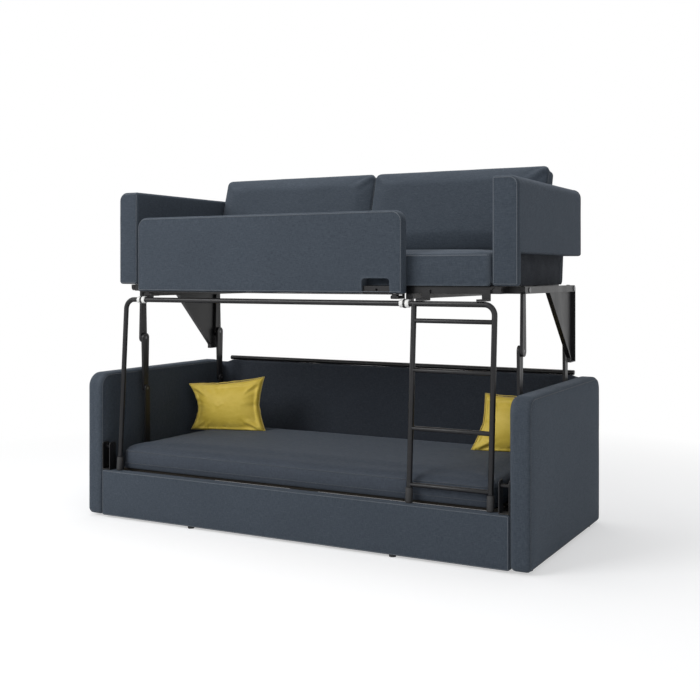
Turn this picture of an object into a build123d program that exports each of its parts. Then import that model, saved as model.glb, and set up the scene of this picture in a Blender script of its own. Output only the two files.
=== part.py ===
from build123d import *
from math import atan2, cos, radians, sin
import os

# A sofa whose seat, arms and back rise on four folding legs to make an upper bunk.
# Millimetres. X is the width, Y runs from the front to the back and Z is up.
# The origin is on the floor, under the middle of the whole object.

# Lower sofa
overall_width = 2100
arm_thickness = 81
arm_depth = 956
arm_top = 651
foot_height = 9
foot_radius = 20
foot_inset = 90
rail_foot_radius = 14
arm_top_radius = 62
arm_bottom_radius = 26
arm_edge_radius = 20
soft_gap = 0.3
fit_gap = 0.05
cut_overrun = 1

back_panel_gap = 4
back_panel_thickness = 30
back_panel_half_width = 930
back_panel_wing_half_width = 1006
back_panel_wing_top = 632
back_panel_bottom = 60
back_panel_top = 646
back_panel_edge_radius = 8
back_tube_radius = 11
back_tube_round_share = 0.25

rail_setback = 3
rail_thickness = 45
rail_top = 215
rail_edge_radius = 9

base_tube_height = 40
base_tube_width = 30
base_frame_top = 205
base_front_setback = 53
base_rear_setback = 903
base_side_tube_width = 40
base_slat_count = 9
base_slat_width = 62
base_slat_thickness = 14

mattress_half_width = 895
mattress_front_setback = 60
mattress_depth = 820
mattress_side_height = 103
mattress_crown = 12
mattress_end_crown_share = 0.35
mattress_corner_radius = 34
mattress_end_radius = 26
mattress_draw_in = 4

pillow_width = 400
pillow_height = 262
pillow_thickness = 128
pillow_edge_thickness = 10
pillow_turn = 13
pillow_lean = 26
left_pillow_x = -705
left_pillow_setback = 618
left_pillow_drop = 5
right_pillow_x = 762
right_pillow_setback = 668
right_pillow_drop = 4.6
pillow_station_shares = (0, 0.08, 0.3, 0.5, 0.7, 0.92, 1)
pillow_width_shares = (1, 0.955, 0.925, 0.915, 0.925, 0.955, 1)
pillow_bulk_shares = (0, 0.5, 0.93, 1, 0.93, 0.5, 0)

# Folding legs, all of one length, with the links of a leg side by side so that they pass
link_length = 237.5
base_pivot_height = 562.5
front_leg_setback = 254
rear_leg_setback = 855
leg_stack_inner_x = 908
post_thickness = 8.5
link_thickness = 12.5
layer_play = 0.5
post_width = 42
link_end_radius = 15.5
front_knee_radius = 22
rear_knee_radius = 23
pivot_radius = 6
pivot_head_radius = 11
pivot_head_height = 3
bracket_width = 19.5

# Upper sofa
upper_setback = 118
upper_half_width = 966
upper_arm_width = 109
upper_arm_top = 1475
upper_arm_rear_setback = 956
upper_arm_bottom = 1180
upper_front_thickness = 24
hinge_leaf_share = 0.25
upper_arm_top_radius = 38
upper_arm_edge_radius = 13

deck_frame_bottom = 1023
deck_frame_height = 30
deck_frame_width = 30
deck_frame_half_width = 888
deck_front_setback = 138
deck_rear_setback = 878
deck_slat_count = 9
deck_slat_width = 60
deck_cross_height = 14
outrigger_setback = 523
outrigger_width = 62
front_outrigger_setback = 206
front_outrigger_width = 30

seat_base_half_width = 900
seat_base_rear_setback = 903
seat_base_floor = 64
seat_base_rear_lean = 15
seat_base_rear_radius = 26
seat_side_gap = 0.5
seat_front_height = 131
seat_depth = 740
seat_crown = 16
seat_end_crown_share = 0.3
seat_corner_radius = 20

back_board_bottom = 1100
back_board_top = 1500
back_board_thickness = 44
back_board_side_gap = 2
back_board_edge_radius = 12
back_cushion_tilt = 17
back_cushion_setback = 712.7
back_cushion_height = 391
back_cushion_settle = 18.2
back_cushion_thickness = 100
back_cushion_crown = 17
back_cushion_end_crown_share = 0.35
back_cushion_corner_radius = 26
back_cushion_end_radius = 20
back_cushion_draw_in = 4
back_cushion_gap = 2

# Side brackets: side bar, box gusset and rear post in one folded piece
side_bar_top = 1051
side_bar_height = 28
side_bar_front_setback = 202
gusset_top_setback = 512
gusset_low_setback = 806
rear_post_rear_setback = 879
gusset_low_height = 736
gusset_bottom_height = 716
gusset_flange = 4
gusset_plate = 3
gusset_corner_radius = 16
web_rear_setback = 669
web_step_share = 0.67

# Front tube frame with the ladder
tube_radius = 11
tube_bore_radius = 9
tube_height = 984
tube_setback = 78
foot_setback = 30
frame_half_width = 886
bend_radius = 42
ladder_inner_x = 552
rung_radius = 9
rung_heights = (918, 726, 502, 286)
shoe_radius = 14.5
shoe_height = 58
shoe_floor = 5
hanger_xs = (-796, 513)
hanger_thickness = 8
hanger_eye_radius = 18
hanger_head_width = 24
hanger_head_height = 16.4
hanger_head_length = 50
hanger_neck_width = 36
bush_radius = 16
bush_length = 16
runner_width = 30
runner_height = 22
runner_wall = 2.5
runner_slot = 10
runner_front_setback = 118
frame_travel = 720

# Guard
guard_left_x = -817
guard_right_x = 505
guard_setback = 68
guard_thickness = 48
guard_bottom = 1022
guard_top = 1353
guard_corner_radius = 45
guard_edge_radius = 12
strip_thickness = 3.5
strip_width = 40
strip_inset = 12
handhole_left_x = 325
handhole_width = 124
handhole_height = 61
handhole_radius = 14
plate_height = 30
plate_thickness = 26
plate_hole_radius = 5
hinge_xs = (-762, 469)
hinge_setback = 76
hinge_height = 1008
hinge_radius = 7
hinge_pin_radius = 4
lug_width = 20
ear_thickness = 5
ear_play = 0.4

# Small steel parts under the upper front and at the arm ends
front_strip_left_x = 485
front_strip_right_x = 863
front_strip_thickness = 4
front_strip_slant = 26
catch_xs = (580, 832)
catch_width = 34
catch_bottom = 995.5
catch_plate = 8
end_bracket_inner_x = 925
end_bracket_sheet = 4
end_bracket_setback = 8
end_bracket_depth = 42
end_bracket_round_share = 0.25
end_bracket_top = 339
end_bolt_height = 318
end_bolt_radius = 6
end_bolt_head = 3

# Places that follow from the sizes
total_depth = arm_depth + back_panel_gap + back_panel_thickness
front = -total_depth / 2
half_width = overall_width / 2
arm_inner_x = half_width - arm_thickness
rail_front = front + rail_setback
rail_rear = rail_front + rail_thickness
base_frame_bottom = base_frame_top - base_tube_height
base_front = front + base_front_setback
base_rear = front + base_rear_setback
base_side_outer_x = leg_stack_inner_x
base_side_inner_x = base_side_outer_x - base_side_tube_width
mattress_bottom = base_frame_top + base_slat_thickness + soft_gap
mattress_top = mattress_bottom + mattress_side_height + mattress_crown
mattress_middle = front + mattress_front_setback + mattress_depth / 2
post_outer_x = leg_stack_inner_x + post_thickness
lower_link_x = post_outer_x + layer_play
upper_link_x = lower_link_x + link_thickness + layer_play
upper_link_outer_x = upper_link_x + link_thickness
bracket_inner_x = upper_link_outer_x + layer_play
bracket_outer_x = bracket_inner_x + bracket_width
knee_height = base_pivot_height + link_length
deck_pivot_height = knee_height + link_length
leg_places = (("front", front + front_leg_setback, front_knee_radius),
              ("rear", front + rear_leg_setback, rear_knee_radius))
sides = (("left", -1), ("right", 1))
upper_front = front + upper_setback
upper_arm_rear = front + upper_arm_rear_setback
upper_inner_x = upper_half_width - upper_arm_width
upper_board_rear = upper_front + upper_front_thickness
deck_frame_top = deck_frame_bottom + deck_frame_height
upper_front_bottom = deck_frame_top + soft_gap
deck_front = front + deck_front_setback
deck_rear = front + deck_rear_setback
seat_base_front = upper_board_rear + soft_gap
seat_base_rear = front + seat_base_rear_setback
seat_floor_height = upper_front_bottom + seat_base_floor
tube_y = front + tube_setback
frame_lean = atan2(tube_setback - foot_setback, tube_height - rail_top)
shoe_dip = shoe_radius * sin(frame_lean)
leg_length = (tube_height - rail_top - soft_gap - shoe_dip) / cos(frame_lean)
frame_plane = Plane(
    origin=(0, tube_y, tube_height),
    x_dir=(1, 0, 0),
    z_dir=(0, -cos(frame_lean), sin(frame_lean)),
)
guard_front = front + guard_setback
guard_rear = guard_front + guard_thickness
hinge_y = front + hinge_setback

os.makedirs("parts", exist_ok=True)


def block(x_from, x_to, y_from, y_to, z_from, z_to, mode=Mode.ADD):
    """A box between two corners."""
    middle = ((x_from + x_to) / 2, (y_from + y_to) / 2, (z_from + z_to) / 2)
    with Locations(middle):
        Box(abs(x_to - x_from), abs(y_to - y_from), abs(z_to - z_from), mode=mode)


def rod(x_from, x_to, y, z, radius, mode=Mode.ADD):
    """A round bar along X."""
    with Locations(Plane(origin=((x_from + x_to) / 2, y, z), z_dir=(1, 0, 0))):
        Cylinder(radius, abs(x_to - x_from), mode=mode)


def side_plane(x):
    """The plane that a side view is drawn on, with Y across and Z up."""
    return Plane(origin=(x, 0, 0), x_dir=(0, 1, 0), z_dir=(1, 0, 0))


def cushion_section(plane, wide, tall, crown, corner, draw_in):
    """A cushion's cross-section: flat base, drawn-in sides and a crowned top."""
    half = wide / 2
    with BuildSketch(plane, mode=Mode.PRIVATE) as section:
        with BuildLine():
            Line((-half + corner, 0), (half - corner, 0))
            CenterArc((half - corner, corner), corner, -90, 90)
            ThreePointArc((half, corner), (half - draw_in, tall / 2), (half, tall - corner))
            CenterArc((half - corner, tall - corner), corner, 0, 90)
            ThreePointArc((half - corner, tall), (0, tall + crown), (-half + corner, tall))
            CenterArc((-half + corner, tall - corner), corner, 90, 90)
            ThreePointArc((-half, tall - corner), (-half + draw_in, tall / 2), (-half, corner))
            CenterArc((-half + corner, corner), corner, 180, 90)
        make_face()
    return section.sketch


# Lower sofa

for side, sign in sides:
    with BuildPart() as lower_arm:
        with BuildSketch(side_plane(sign * arm_inner_x)):
            with Locations((front + arm_depth / 2, (foot_height + arm_top) / 2)):
                Rectangle(arm_depth, arm_top - foot_height)
            fillet(vertices().group_by(Axis.Y)[-1], arm_top_radius)
            fillet(vertices().group_by(Axis.Y)[0], arm_bottom_radius)
        extrude(amount=sign * arm_thickness)
        fillet(faces().filter_by(Axis.X).edges(), arm_edge_radius)
    lower_arm.part.label = f"{side}_lower_arm"
    export_step(lower_arm.part, f"parts/{side}_lower_arm.step")

with BuildPart() as front_rail:
    rail_end = arm_inner_x - soft_gap
    block(-rail_end, rail_end, rail_front, rail_rear, foot_height, rail_top)
    fillet(edges().filter_by(Axis.X), rail_edge_radius)
front_rail.part.label = "front_rail"
export_step(front_rail.part, "parts/front_rail.step")

with BuildPart() as lower_back_panel:
    panel_end, wing_end = back_panel_half_width, back_panel_wing_half_width
    panel_front = front + arm_depth + back_panel_gap
    panel_rear = panel_front + back_panel_thickness
    block(-wing_end, wing_end, panel_front, panel_rear, back_panel_bottom, back_panel_wing_top)
    fillet(edges().filter_by(Axis.Z), back_panel_edge_radius)
    block(-panel_end, panel_end, panel_front, panel_rear, back_panel_bottom, back_panel_top)
lower_back_panel.part.label = "lower_back_panel"
export_step(lower_back_panel.part, "parts/lower_back_panel.step")

with BuildPart() as back_tube:
    back_tube_y = panel_front + back_panel_thickness / 2
    rod(-panel_end, panel_end, back_tube_y, back_panel_top + soft_gap + back_tube_radius, back_tube_radius)
    fillet(edges(), back_tube_radius * back_tube_round_share)
back_tube.part.label = "back_tube"
export_step(back_tube.part, "parts/back_tube.step")

with BuildPart() as base_frame:
    reach = arm_inner_x
    block(-reach, reach, base_front, base_front + base_tube_width, base_frame_bottom, base_frame_top)
    block(-reach, reach, base_rear, base_rear + base_tube_width, base_frame_bottom, base_frame_top)
    for start_x in (-base_side_outer_x, -base_side_tube_width / 2, base_side_inner_x):
        block(start_x, start_x + base_side_tube_width, base_front, base_rear, base_frame_bottom,
              base_frame_top)
    for start_x in (-base_side_outer_x, -base_side_tube_width / 2, base_side_inner_x):
        block(start_x, start_x + base_side_tube_width, base_rear + base_tube_width, panel_front,
              base_frame_bottom, base_frame_top)
base_frame.part.label = "base_frame"
export_step(base_frame.part, "parts/base_frame.step")

with BuildPart() as base_slats:
    slat_room = base_rear - base_front - base_tube_width - base_slat_width
    for index in range(base_slat_count):
        slat_y = base_front + base_tube_width + slat_room * index / (base_slat_count - 1)
        block(-base_side_outer_x, base_side_outer_x, slat_y, slat_y + base_slat_width, base_frame_top,
              base_frame_top + base_slat_thickness)
base_slats.part.label = "base_slats"
export_step(base_slats.part, "parts/base_slats.step")

with BuildPart() as feet:
    arm_middle_x = half_width - arm_thickness / 2
    arm_foot_rear = front + arm_depth - foot_inset
    foot_places = [(x, y) for x in (-arm_middle_x, arm_middle_x) for y in (front + foot_inset, arm_foot_rear)]
    rail_foot_y = rail_rear - rail_foot_radius - rail_edge_radius
    with BuildSketch():
        with Locations(*foot_places):
            Circle(foot_radius)
        with Locations((-arm_inner_x / 2, rail_foot_y), (arm_inner_x / 2, rail_foot_y)):
            Circle(rail_foot_radius)
    extrude(amount=foot_height)
feet.part.label = "feet"
export_step(feet.part, "parts/feet.step")

with BuildPart() as lower_mattress:
    mattress_sections = []
    for x_share, crown_share in ((-1, mattress_end_crown_share), (0, 1), (1, mattress_end_crown_share)):
        section_plane = Plane(
            origin=(x_share * mattress_half_width, mattress_middle, mattress_bottom),
            x_dir=(0, 1, 0),
            z_dir=(1, 0, 0),
        )
        mattress_sections.append(cushion_section(
            section_plane, mattress_depth, mattress_side_height, mattress_crown * crown_share,
            mattress_corner_radius, mattress_draw_in))
    loft(mattress_sections)
    fillet(faces().filter_by(Axis.X).edges(), mattress_end_radius)
lower_mattress.part.label = "lower_mattress"
export_step(lower_mattress.part, "parts/lower_mattress.step")


def pillow_lens(plane, wide, bulk):
    """A pillow's level section: two arcs that meet in its knife edges."""
    half = wide / 2
    with BuildSketch(plane, mode=Mode.PRIVATE) as section:
        with BuildLine():
            ThreePointArc((-half, 0), (0, -bulk / 2), (half, 0))
            ThreePointArc((half, 0), (0, bulk / 2), (-half, 0))
        make_face()
    return section.sketch


pillow_stand = mattress_top + soft_gap
pillow_places = (("left_pillow", left_pillow_x, front + left_pillow_setback, left_pillow_drop),
                 ("right_pillow", right_pillow_x, front + right_pillow_setback, right_pillow_drop))
for pillow_name, pillow_x, pillow_y, pillow_drop in pillow_places:
    with BuildPart() as pillow:
        lenses = []
        pillow_shares = zip(pillow_station_shares, pillow_width_shares, pillow_bulk_shares)
        for height_share, width_share, bulk_share in pillow_shares:
            bulk = pillow_edge_thickness + (pillow_thickness - pillow_edge_thickness) * bulk_share
            lens_plane = Plane(
                origin=(pillow_x, pillow_y + pillow_lean * height_share,
                        pillow_stand - pillow_drop + pillow_height * height_share),
                x_dir=(cos(radians(pillow_turn)), sin(radians(pillow_turn)), 0),
                z_dir=(0, 0, 1),
            )
            lenses.append(pillow_lens(lens_plane, pillow_width * width_share, bulk))
        loft(lenses)
    pillow.part.label = pillow_name
    export_step(pillow.part, f"parts/{pillow_name}.step")

for side, sign in sides:
    with BuildPart() as base_posts:
        for leg_name, leg_y, knee_radius in leg_places:
            with BuildSketch(side_plane(sign * leg_stack_inner_x)):
                with BuildLine():
                    Polyline(
                        (leg_y - link_end_radius, base_pivot_height),
                        (leg_y - post_width / 2, base_frame_top),
                        (leg_y - post_width / 2, base_frame_bottom),
                        (leg_y + post_width / 2, base_frame_bottom),
                        (leg_y + post_width / 2, base_frame_top),
                        (leg_y + link_end_radius, base_pivot_height),
                    )
                    CenterArc((leg_y, base_pivot_height), link_end_radius, 0, 180)
                make_face()
                with Locations((leg_y, base_pivot_height)):
                    Circle(pivot_radius + fit_gap, mode=Mode.SUBTRACT)
            extrude(amount=sign * post_thickness)
    base_posts.part.label = f"{side}_base_posts"
    export_step(base_posts.part, f"parts/{side}_base_posts.step")

with BuildPart() as base_pivot_pins:
    for side, sign in sides:
        for leg_name, leg_y, knee_radius in leg_places:
            rod(sign * leg_stack_inner_x, sign * (lower_link_x + link_thickness), leg_y,
                base_pivot_height, pivot_radius)
base_pivot_pins.part.label = "base_pivot_pins"
export_step(base_pivot_pins.part, "parts/base_pivot_pins.step")

with BuildPart() as end_brackets:
    bracket_front = front + end_bracket_setback
    bracket_rear = bracket_front + end_bracket_depth
    bracket_floor = rail_top + soft_gap
    bracket_wall_x = arm_inner_x - soft_gap - end_bracket_sheet
    for side, sign in sides:
        block(sign * end_bracket_inner_x, sign * (bracket_wall_x + end_bracket_sheet), bracket_front,
              bracket_rear, bracket_floor, bracket_floor + end_bracket_sheet)
        for wall_x in (end_bracket_inner_x, bracket_wall_x):
            block(sign * wall_x, sign * (wall_x + end_bracket_sheet), bracket_front, bracket_rear,
                  bracket_floor, end_bracket_top)
    bracket_tops = edges().filter_by(Axis.X).group_by(Axis.Z)[-1]
    fillet(bracket_tops, end_bracket_depth * end_bracket_round_share)
    bolt_y = (bracket_front + bracket_rear) / 2
    rod(-arm_inner_x, arm_inner_x, bolt_y, end_bolt_height, end_bolt_radius + fit_gap, Mode.SUBTRACT)
end_brackets.part.label = "end_brackets"
export_step(end_brackets.part, "parts/end_brackets.step")

with BuildPart() as end_bracket_bolts:
    for side, sign in sides:
        rod(sign * (end_bracket_inner_x - end_bolt_head), sign * (arm_inner_x - soft_gap), bolt_y,
            end_bolt_height, end_bolt_radius)
        rod(sign * (end_bracket_inner_x - end_bolt_head), sign * end_bracket_inner_x, bolt_y,
            end_bolt_height, end_bolt_radius * 2)
end_bracket_bolts.part.label = "end_bracket_bolts"
export_step(end_bracket_bolts.part, "parts/end_bracket_bolts.step")

# Folding legs


def link_outline(y, low_height, low_radius, high_radius):
    """A flat link between two pivots, rounded at both."""
    with Locations((y, low_height)):
        Circle(low_radius)
    with Locations((y, low_height + link_length)):
        Circle(high_radius)
    make_hull()
    with Locations((y, low_height), (y, low_height + link_length)):
        Circle(pivot_radius + fit_gap, mode=Mode.SUBTRACT)


for side, sign in sides:
    for leg_name, leg_y, knee_radius in leg_places:
        with BuildPart() as lower_link:
            with BuildSketch(side_plane(sign * lower_link_x)):
                link_outline(leg_y, base_pivot_height, link_end_radius, knee_radius)
            extrude(amount=sign * link_thickness)
        lower_link.part.label = f"{leg_name}_{side}_lower_link"
        export_step(lower_link.part, f"parts/{leg_name}_{side}_lower_link.step")

        with BuildPart() as upper_link:
            with BuildSketch(side_plane(sign * upper_link_x)):
                link_outline(leg_y, knee_height, knee_radius, link_end_radius)
            extrude(amount=sign * link_thickness)
        upper_link.part.label = f"{leg_name}_{side}_upper_link"
        export_step(upper_link.part, f"parts/{leg_name}_{side}_upper_link.step")

        with BuildPart() as knee_pin:
            rod(sign * lower_link_x, sign * upper_link_outer_x, leg_y, knee_height, pivot_radius)
        knee_pin.part.label = f"{leg_name}_{side}_knee_pin"
        export_step(knee_pin.part, f"parts/{leg_name}_{side}_knee_pin.step")

# Upper sofa


def bracket_outline(inset):
    """The side bracket seen from the side, drawn in by an even inset."""
    slant = atan2(gusset_low_setback - gusset_top_setback, side_bar_top - side_bar_height - gusset_low_height)
    along = inset * (1 - sin(slant)) / cos(slant)
    inside = inset > 0
    top = side_bar_top - (side_bar_height if inside else 0)
    bar_front = front + side_bar_front_setback
    rear = front + rear_post_rear_setback - inset
    low_front = front + gusset_low_setback + inset
    bottom = gusset_bottom_height + inset
    high_front = front + gusset_top_setback + inset / cos(slant)
    if inside:
        points = [(high_front, top), (low_front, gusset_low_height + along), (low_front, bottom),
                  (rear, bottom), (rear, top)]
    else:
        points = [(bar_front, top), (bar_front, top - side_bar_height),
                  (high_front, top - side_bar_height), (low_front, gusset_low_height),
                  (low_front, bottom), (rear, bottom), (rear, top)]
    return points


for side, sign in sides:
    with BuildPart() as side_bracket:
        with BuildSketch(side_plane(sign * bracket_inner_x)):
            Polygon(*bracket_outline(0), align=None)
            rear_corner = vertices().group_by(Axis.X)[-1].sort_by(Axis.Y)[-1]
            front_corner = vertices().group_by(Axis.X)[0].sort_by(Axis.Y)[0]
            fillet([rear_corner, front_corner], gusset_corner_radius)
        extrude(amount=sign * bracket_width)
        with BuildSketch(side_plane(sign * (bracket_inner_x + gusset_plate))):
            Polygon(*bracket_outline(gusset_flange), align=None)
        extrude(amount=sign * bracket_width, mode=Mode.SUBTRACT)
        for leg_name, leg_y, knee_radius in leg_places:
            rod(sign * upper_link_outer_x, sign * (bracket_outer_x + cut_overrun), leg_y,
                deck_pivot_height, pivot_radius + fit_gap, Mode.SUBTRACT)
    side_bracket.part.label = f"{side}_side_bracket"
    export_step(side_bracket.part, f"parts/{side}_side_bracket.step")

with BuildPart() as gusset_webs:
    web_outline = bracket_outline(gusset_flange)
    web_high, web_low = web_outline[0], web_outline[1]
    web_rear = front + web_rear_setback
    web_band = web_rear - web_high[0]
    web_slope = (web_high[1] - web_low[1]) / (web_low[0] - web_high[0])
    for side, sign in sides:
        with BuildSketch(side_plane(sign * (bracket_outer_x - gusset_plate))):
            Polygon(
                (web_high[0] + 2 * soft_gap, web_high[1] - soft_gap),
                (web_rear, web_high[1] - soft_gap),
                (web_rear, web_high[1] - web_slope * web_band * web_step_share),
                (web_low[0], web_low[1] + 2 * soft_gap),
                align=None,
            )
        extrude(amount=sign * gusset_plate)
gusset_webs.part.label = "gusset_webs"
export_step(gusset_webs.part, "parts/gusset_webs.step")

with BuildPart() as deck_pivot_pins:
    for side, sign in sides:
        for leg_name, leg_y, knee_radius in leg_places:
            rod(sign * upper_link_x, sign * bracket_outer_x, leg_y, deck_pivot_height, pivot_radius)
            rod(sign * bracket_outer_x, sign * (bracket_outer_x + pivot_head_height), leg_y,
                deck_pivot_height, pivot_head_radius)
deck_pivot_pins.part.label = "deck_pivot_pins"
export_step(deck_pivot_pins.part, "parts/deck_pivot_pins.step")

with BuildPart() as deck_frame:
    frame_edge = deck_frame_half_width
    block(-frame_edge, frame_edge, deck_front, deck_front + deck_frame_width,
          deck_frame_bottom, deck_frame_top)
    block(-frame_edge, frame_edge, deck_rear - deck_frame_width, deck_rear,
          deck_frame_bottom, deck_frame_top)
    for start_x in (-frame_edge, frame_edge - deck_frame_width):
        block(start_x, start_x + deck_frame_width, deck_front, deck_rear, deck_frame_bottom, deck_frame_top)
    for middle_x in (*hanger_xs, 0):
        block(middle_x - deck_frame_width / 2, middle_x + deck_frame_width / 2, deck_front, deck_rear,
              deck_frame_bottom, deck_frame_bottom + deck_cross_height)
    outriggers = ((outrigger_setback, outrigger_width), (front_outrigger_setback, front_outrigger_width))
    for side, sign in sides:
        for start, wide in outriggers:
            block(sign * (frame_edge - deck_frame_width), sign * bracket_inner_x, front + start,
                  front + start + wide, deck_frame_bottom, side_bar_top)
deck_frame.part.label = "deck_frame"
export_step(deck_frame.part, "parts/deck_frame.step")

with BuildPart() as deck_slats:
    slat_start = deck_front + deck_frame_width + soft_gap
    slat_space = deck_rear - deck_frame_width - soft_gap - slat_start - deck_slat_width
    slat_reach = deck_frame_half_width - deck_frame_width - soft_gap
    for index in range(deck_slat_count):
        slat_y = slat_start + slat_space * index / (deck_slat_count - 1)
        block(-slat_reach, slat_reach, slat_y, slat_y + deck_slat_width,
              deck_frame_bottom + deck_cross_height, deck_frame_top)
deck_slats.part.label = "deck_slats"
export_step(deck_slats.part, "parts/deck_slats.step")

with BuildPart() as seat_base:
    with BuildSketch(side_plane(-seat_base_half_width)):
        Polygon(
            (seat_base_front, upper_front_bottom),
            (seat_base_rear - seat_base_rear_lean, upper_front_bottom),
            (seat_base_rear, upper_arm_bottom - soft_gap),
            (seat_base_front, upper_arm_bottom - soft_gap),
            align=None,
        )
        fillet(vertices().group_by(Axis.Y)[0].sort_by(Axis.X)[-1], seat_base_rear_radius)
    extrude(amount=2 * seat_base_half_width)
    block(-upper_inner_x, upper_inner_x, seat_base_front - cut_overrun,
          upper_front + seat_depth + soft_gap, seat_floor_height, upper_arm_bottom, Mode.SUBTRACT)
seat_base.part.label = "seat_base"
export_step(seat_base.part, "parts/seat_base.step")


def seat_section(x, crown):
    """The seat cushion from the side: a front that drops past the seat base, and a crowned top."""
    top = upper_front_bottom + seat_front_height
    rear = upper_front + seat_depth
    corner = seat_corner_radius
    drop_rear = upper_board_rear
    low = seat_floor_height + soft_gap
    with BuildSketch(side_plane(x), mode=Mode.PRIVATE) as section:
        with BuildLine():
            Line((upper_front, top - corner), (upper_front, upper_front_bottom))
            Line((upper_front, upper_front_bottom), (drop_rear, upper_front_bottom))
            Line((drop_rear, upper_front_bottom), (drop_rear, low))
            Line((drop_rear, low), (rear, low))
            Line((rear, low), (rear, top - corner))
            CenterArc((rear - corner, top - corner), corner, 0, 90)
            ThreePointArc((rear - corner, top), ((upper_front + rear) / 2, top + crown),
                          (upper_front + corner, top))
            CenterArc((upper_front + corner, top - corner), corner, 90, 90)
        make_face()
    return section.sketch


with BuildPart() as seat_cushion:
    seat_end_x = upper_inner_x - seat_side_gap
    loft([
        seat_section(-seat_end_x, seat_crown * seat_end_crown_share),
        seat_section(0, seat_crown),
        seat_section(seat_end_x, seat_crown * seat_end_crown_share),
    ])
seat_cushion.part.label = "seat_cushion"
export_step(seat_cushion.part, "parts/seat_cushion.step")

for side, sign in sides:
    with BuildPart() as upper_arm:
        with BuildSketch(Plane(origin=(0, upper_front, 0), x_dir=(1, 0, 0), z_dir=(0, -1, 0))):
            middle_x = sign * (upper_half_width - upper_arm_width / 2)
            with Locations((middle_x, (upper_front_bottom + upper_arm_top) / 2)):
                Rectangle(upper_arm_width, upper_arm_top - upper_front_bottom)
            outer_corners = vertices().group_by(Axis.X)[-1 if sign > 0 else 0].sort_by(Axis.Y)
            fillet(outer_corners[-1], upper_arm_top_radius)
        extrude(amount=upper_front - upper_arm_rear)
        block(sign * (upper_inner_x - cut_overrun), sign * (upper_half_width + cut_overrun),
              upper_board_rear, upper_arm_rear + cut_overrun, upper_front_bottom - cut_overrun,
              upper_arm_bottom, Mode.SUBTRACT)
        arm_ends = faces().filter_by(Axis.Y).sort_by(Axis.Y)
        fillet(arm_ends[-1].edges(), upper_arm_edge_radius)
        fillet(faces().filter_by(Axis.Y).sort_by(Axis.Y)[0].edges(), upper_arm_edge_radius / 2)
    upper_arm.part.label = f"{side}_upper_arm"
    export_step(upper_arm.part, f"parts/{side}_upper_arm.step")

with BuildPart() as back_board:
    board_end = upper_inner_x - back_board_side_gap
    board_front = seat_base_rear + soft_gap
    block(-board_end, board_end, board_front, board_front + back_board_thickness, back_board_bottom,
          back_board_top)
    fillet(edges().filter_by(Axis.X), back_board_edge_radius)
back_board.part.label = "back_board"
export_step(back_board.part, "parts/back_board.step")

tilt_sin = sin(radians(back_cushion_tilt))
tilt_cos = cos(radians(back_cushion_tilt))
seat_top = upper_front_bottom + seat_front_height + seat_crown
for side, sign in sides:
    with BuildPart() as back_cushion:
        cushion_sections = []
        inner_x = sign * back_cushion_gap / 2
        outer_x = sign * (upper_inner_x - seat_side_gap)
        rise = back_cushion_height / 2
        rear_y = front + back_cushion_setback + back_cushion_thickness * tilt_cos + rise * tilt_sin
        rear_z = seat_top - back_cushion_settle + soft_gap + rise * tilt_cos
        stations = (
            (inner_x, back_cushion_end_crown_share),
            ((inner_x + outer_x) / 2, 1),
            (outer_x, back_cushion_end_crown_share),
        )
        for station_x, crown_share in stations:
            cushion_plane = Plane(
                origin=(station_x, rear_y, rear_z),
                x_dir=(0, tilt_sin, tilt_cos),
                z_dir=(1, 0, 0),
            )
            cushion_sections.append(cushion_section(
                cushion_plane, back_cushion_height, back_cushion_thickness,
                back_cushion_crown * crown_share, back_cushion_corner_radius, back_cushion_draw_in))
        loft(cushion_sections)
        fillet(faces().filter_by(Axis.X).edges(), back_cushion_end_radius)
    back_cushion.part.label = f"{side}_back_cushion"
    export_step(back_cushion.part, f"parts/{side}_back_cushion.step")

# Steel parts under the upper front

with BuildPart() as front_strip:
    strip_rear = deck_front
    with BuildSketch(Plane(origin=(0, strip_rear, 0), x_dir=(1, 0, 0), z_dir=(0, -1, 0))):
        Polygon(
            (front_strip_left_x, deck_frame_bottom),
            (front_strip_right_x - front_strip_slant, deck_frame_bottom),
            (front_strip_right_x, side_bar_top),
            (front_strip_left_x, side_bar_top),
            align=None,
        )
    extrude(amount=front_strip_thickness)
front_strip.part.label = "front_strip"
export_step(front_strip.part, "parts/front_strip.step")

with BuildPart() as catch_plates:
    catch_rear = strip_rear - front_strip_thickness
    catch_top = deck_frame_bottom + deck_frame_height / 2
    for catch_x in catch_xs:
        edge_left, edge_right = catch_x - catch_width / 2, catch_x + catch_width / 2
        block(edge_left, edge_right, catch_rear - catch_plate, catch_rear, catch_bottom, catch_top)
        block(edge_left, edge_right, tube_y - tube_radius, catch_rear, catch_bottom,
              catch_bottom + catch_plate)
catch_plates.part.label = "catch_plates"
export_step(catch_plates.part, "parts/catch_plates.step")

with BuildPart() as runners:
    runner_top = deck_frame_bottom
    runner_bottom = runner_top - runner_height
    runner_front = front + runner_front_setback
    runner_rear = runner_front + hanger_head_length + frame_travel + soft_gap
    for hanger_x in hanger_xs:
        edge_left, edge_right = hanger_x - runner_width / 2, hanger_x + runner_width / 2
        block(edge_left, edge_right, runner_front, runner_rear, runner_bottom, runner_top)
        block(edge_left + runner_wall, edge_right - runner_wall, runner_front - cut_overrun,
              runner_rear + cut_overrun, runner_bottom + runner_wall, runner_top - runner_wall, Mode.SUBTRACT)
        block(hanger_x - runner_slot / 2, hanger_x + runner_slot / 2, runner_front - cut_overrun,
              runner_rear + cut_overrun, runner_bottom - cut_overrun, runner_top - runner_wall, Mode.SUBTRACT)
runners.part.label = "runners"
export_step(runners.part, "parts/runners.step")

# Front tube frame with the ladder

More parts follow.
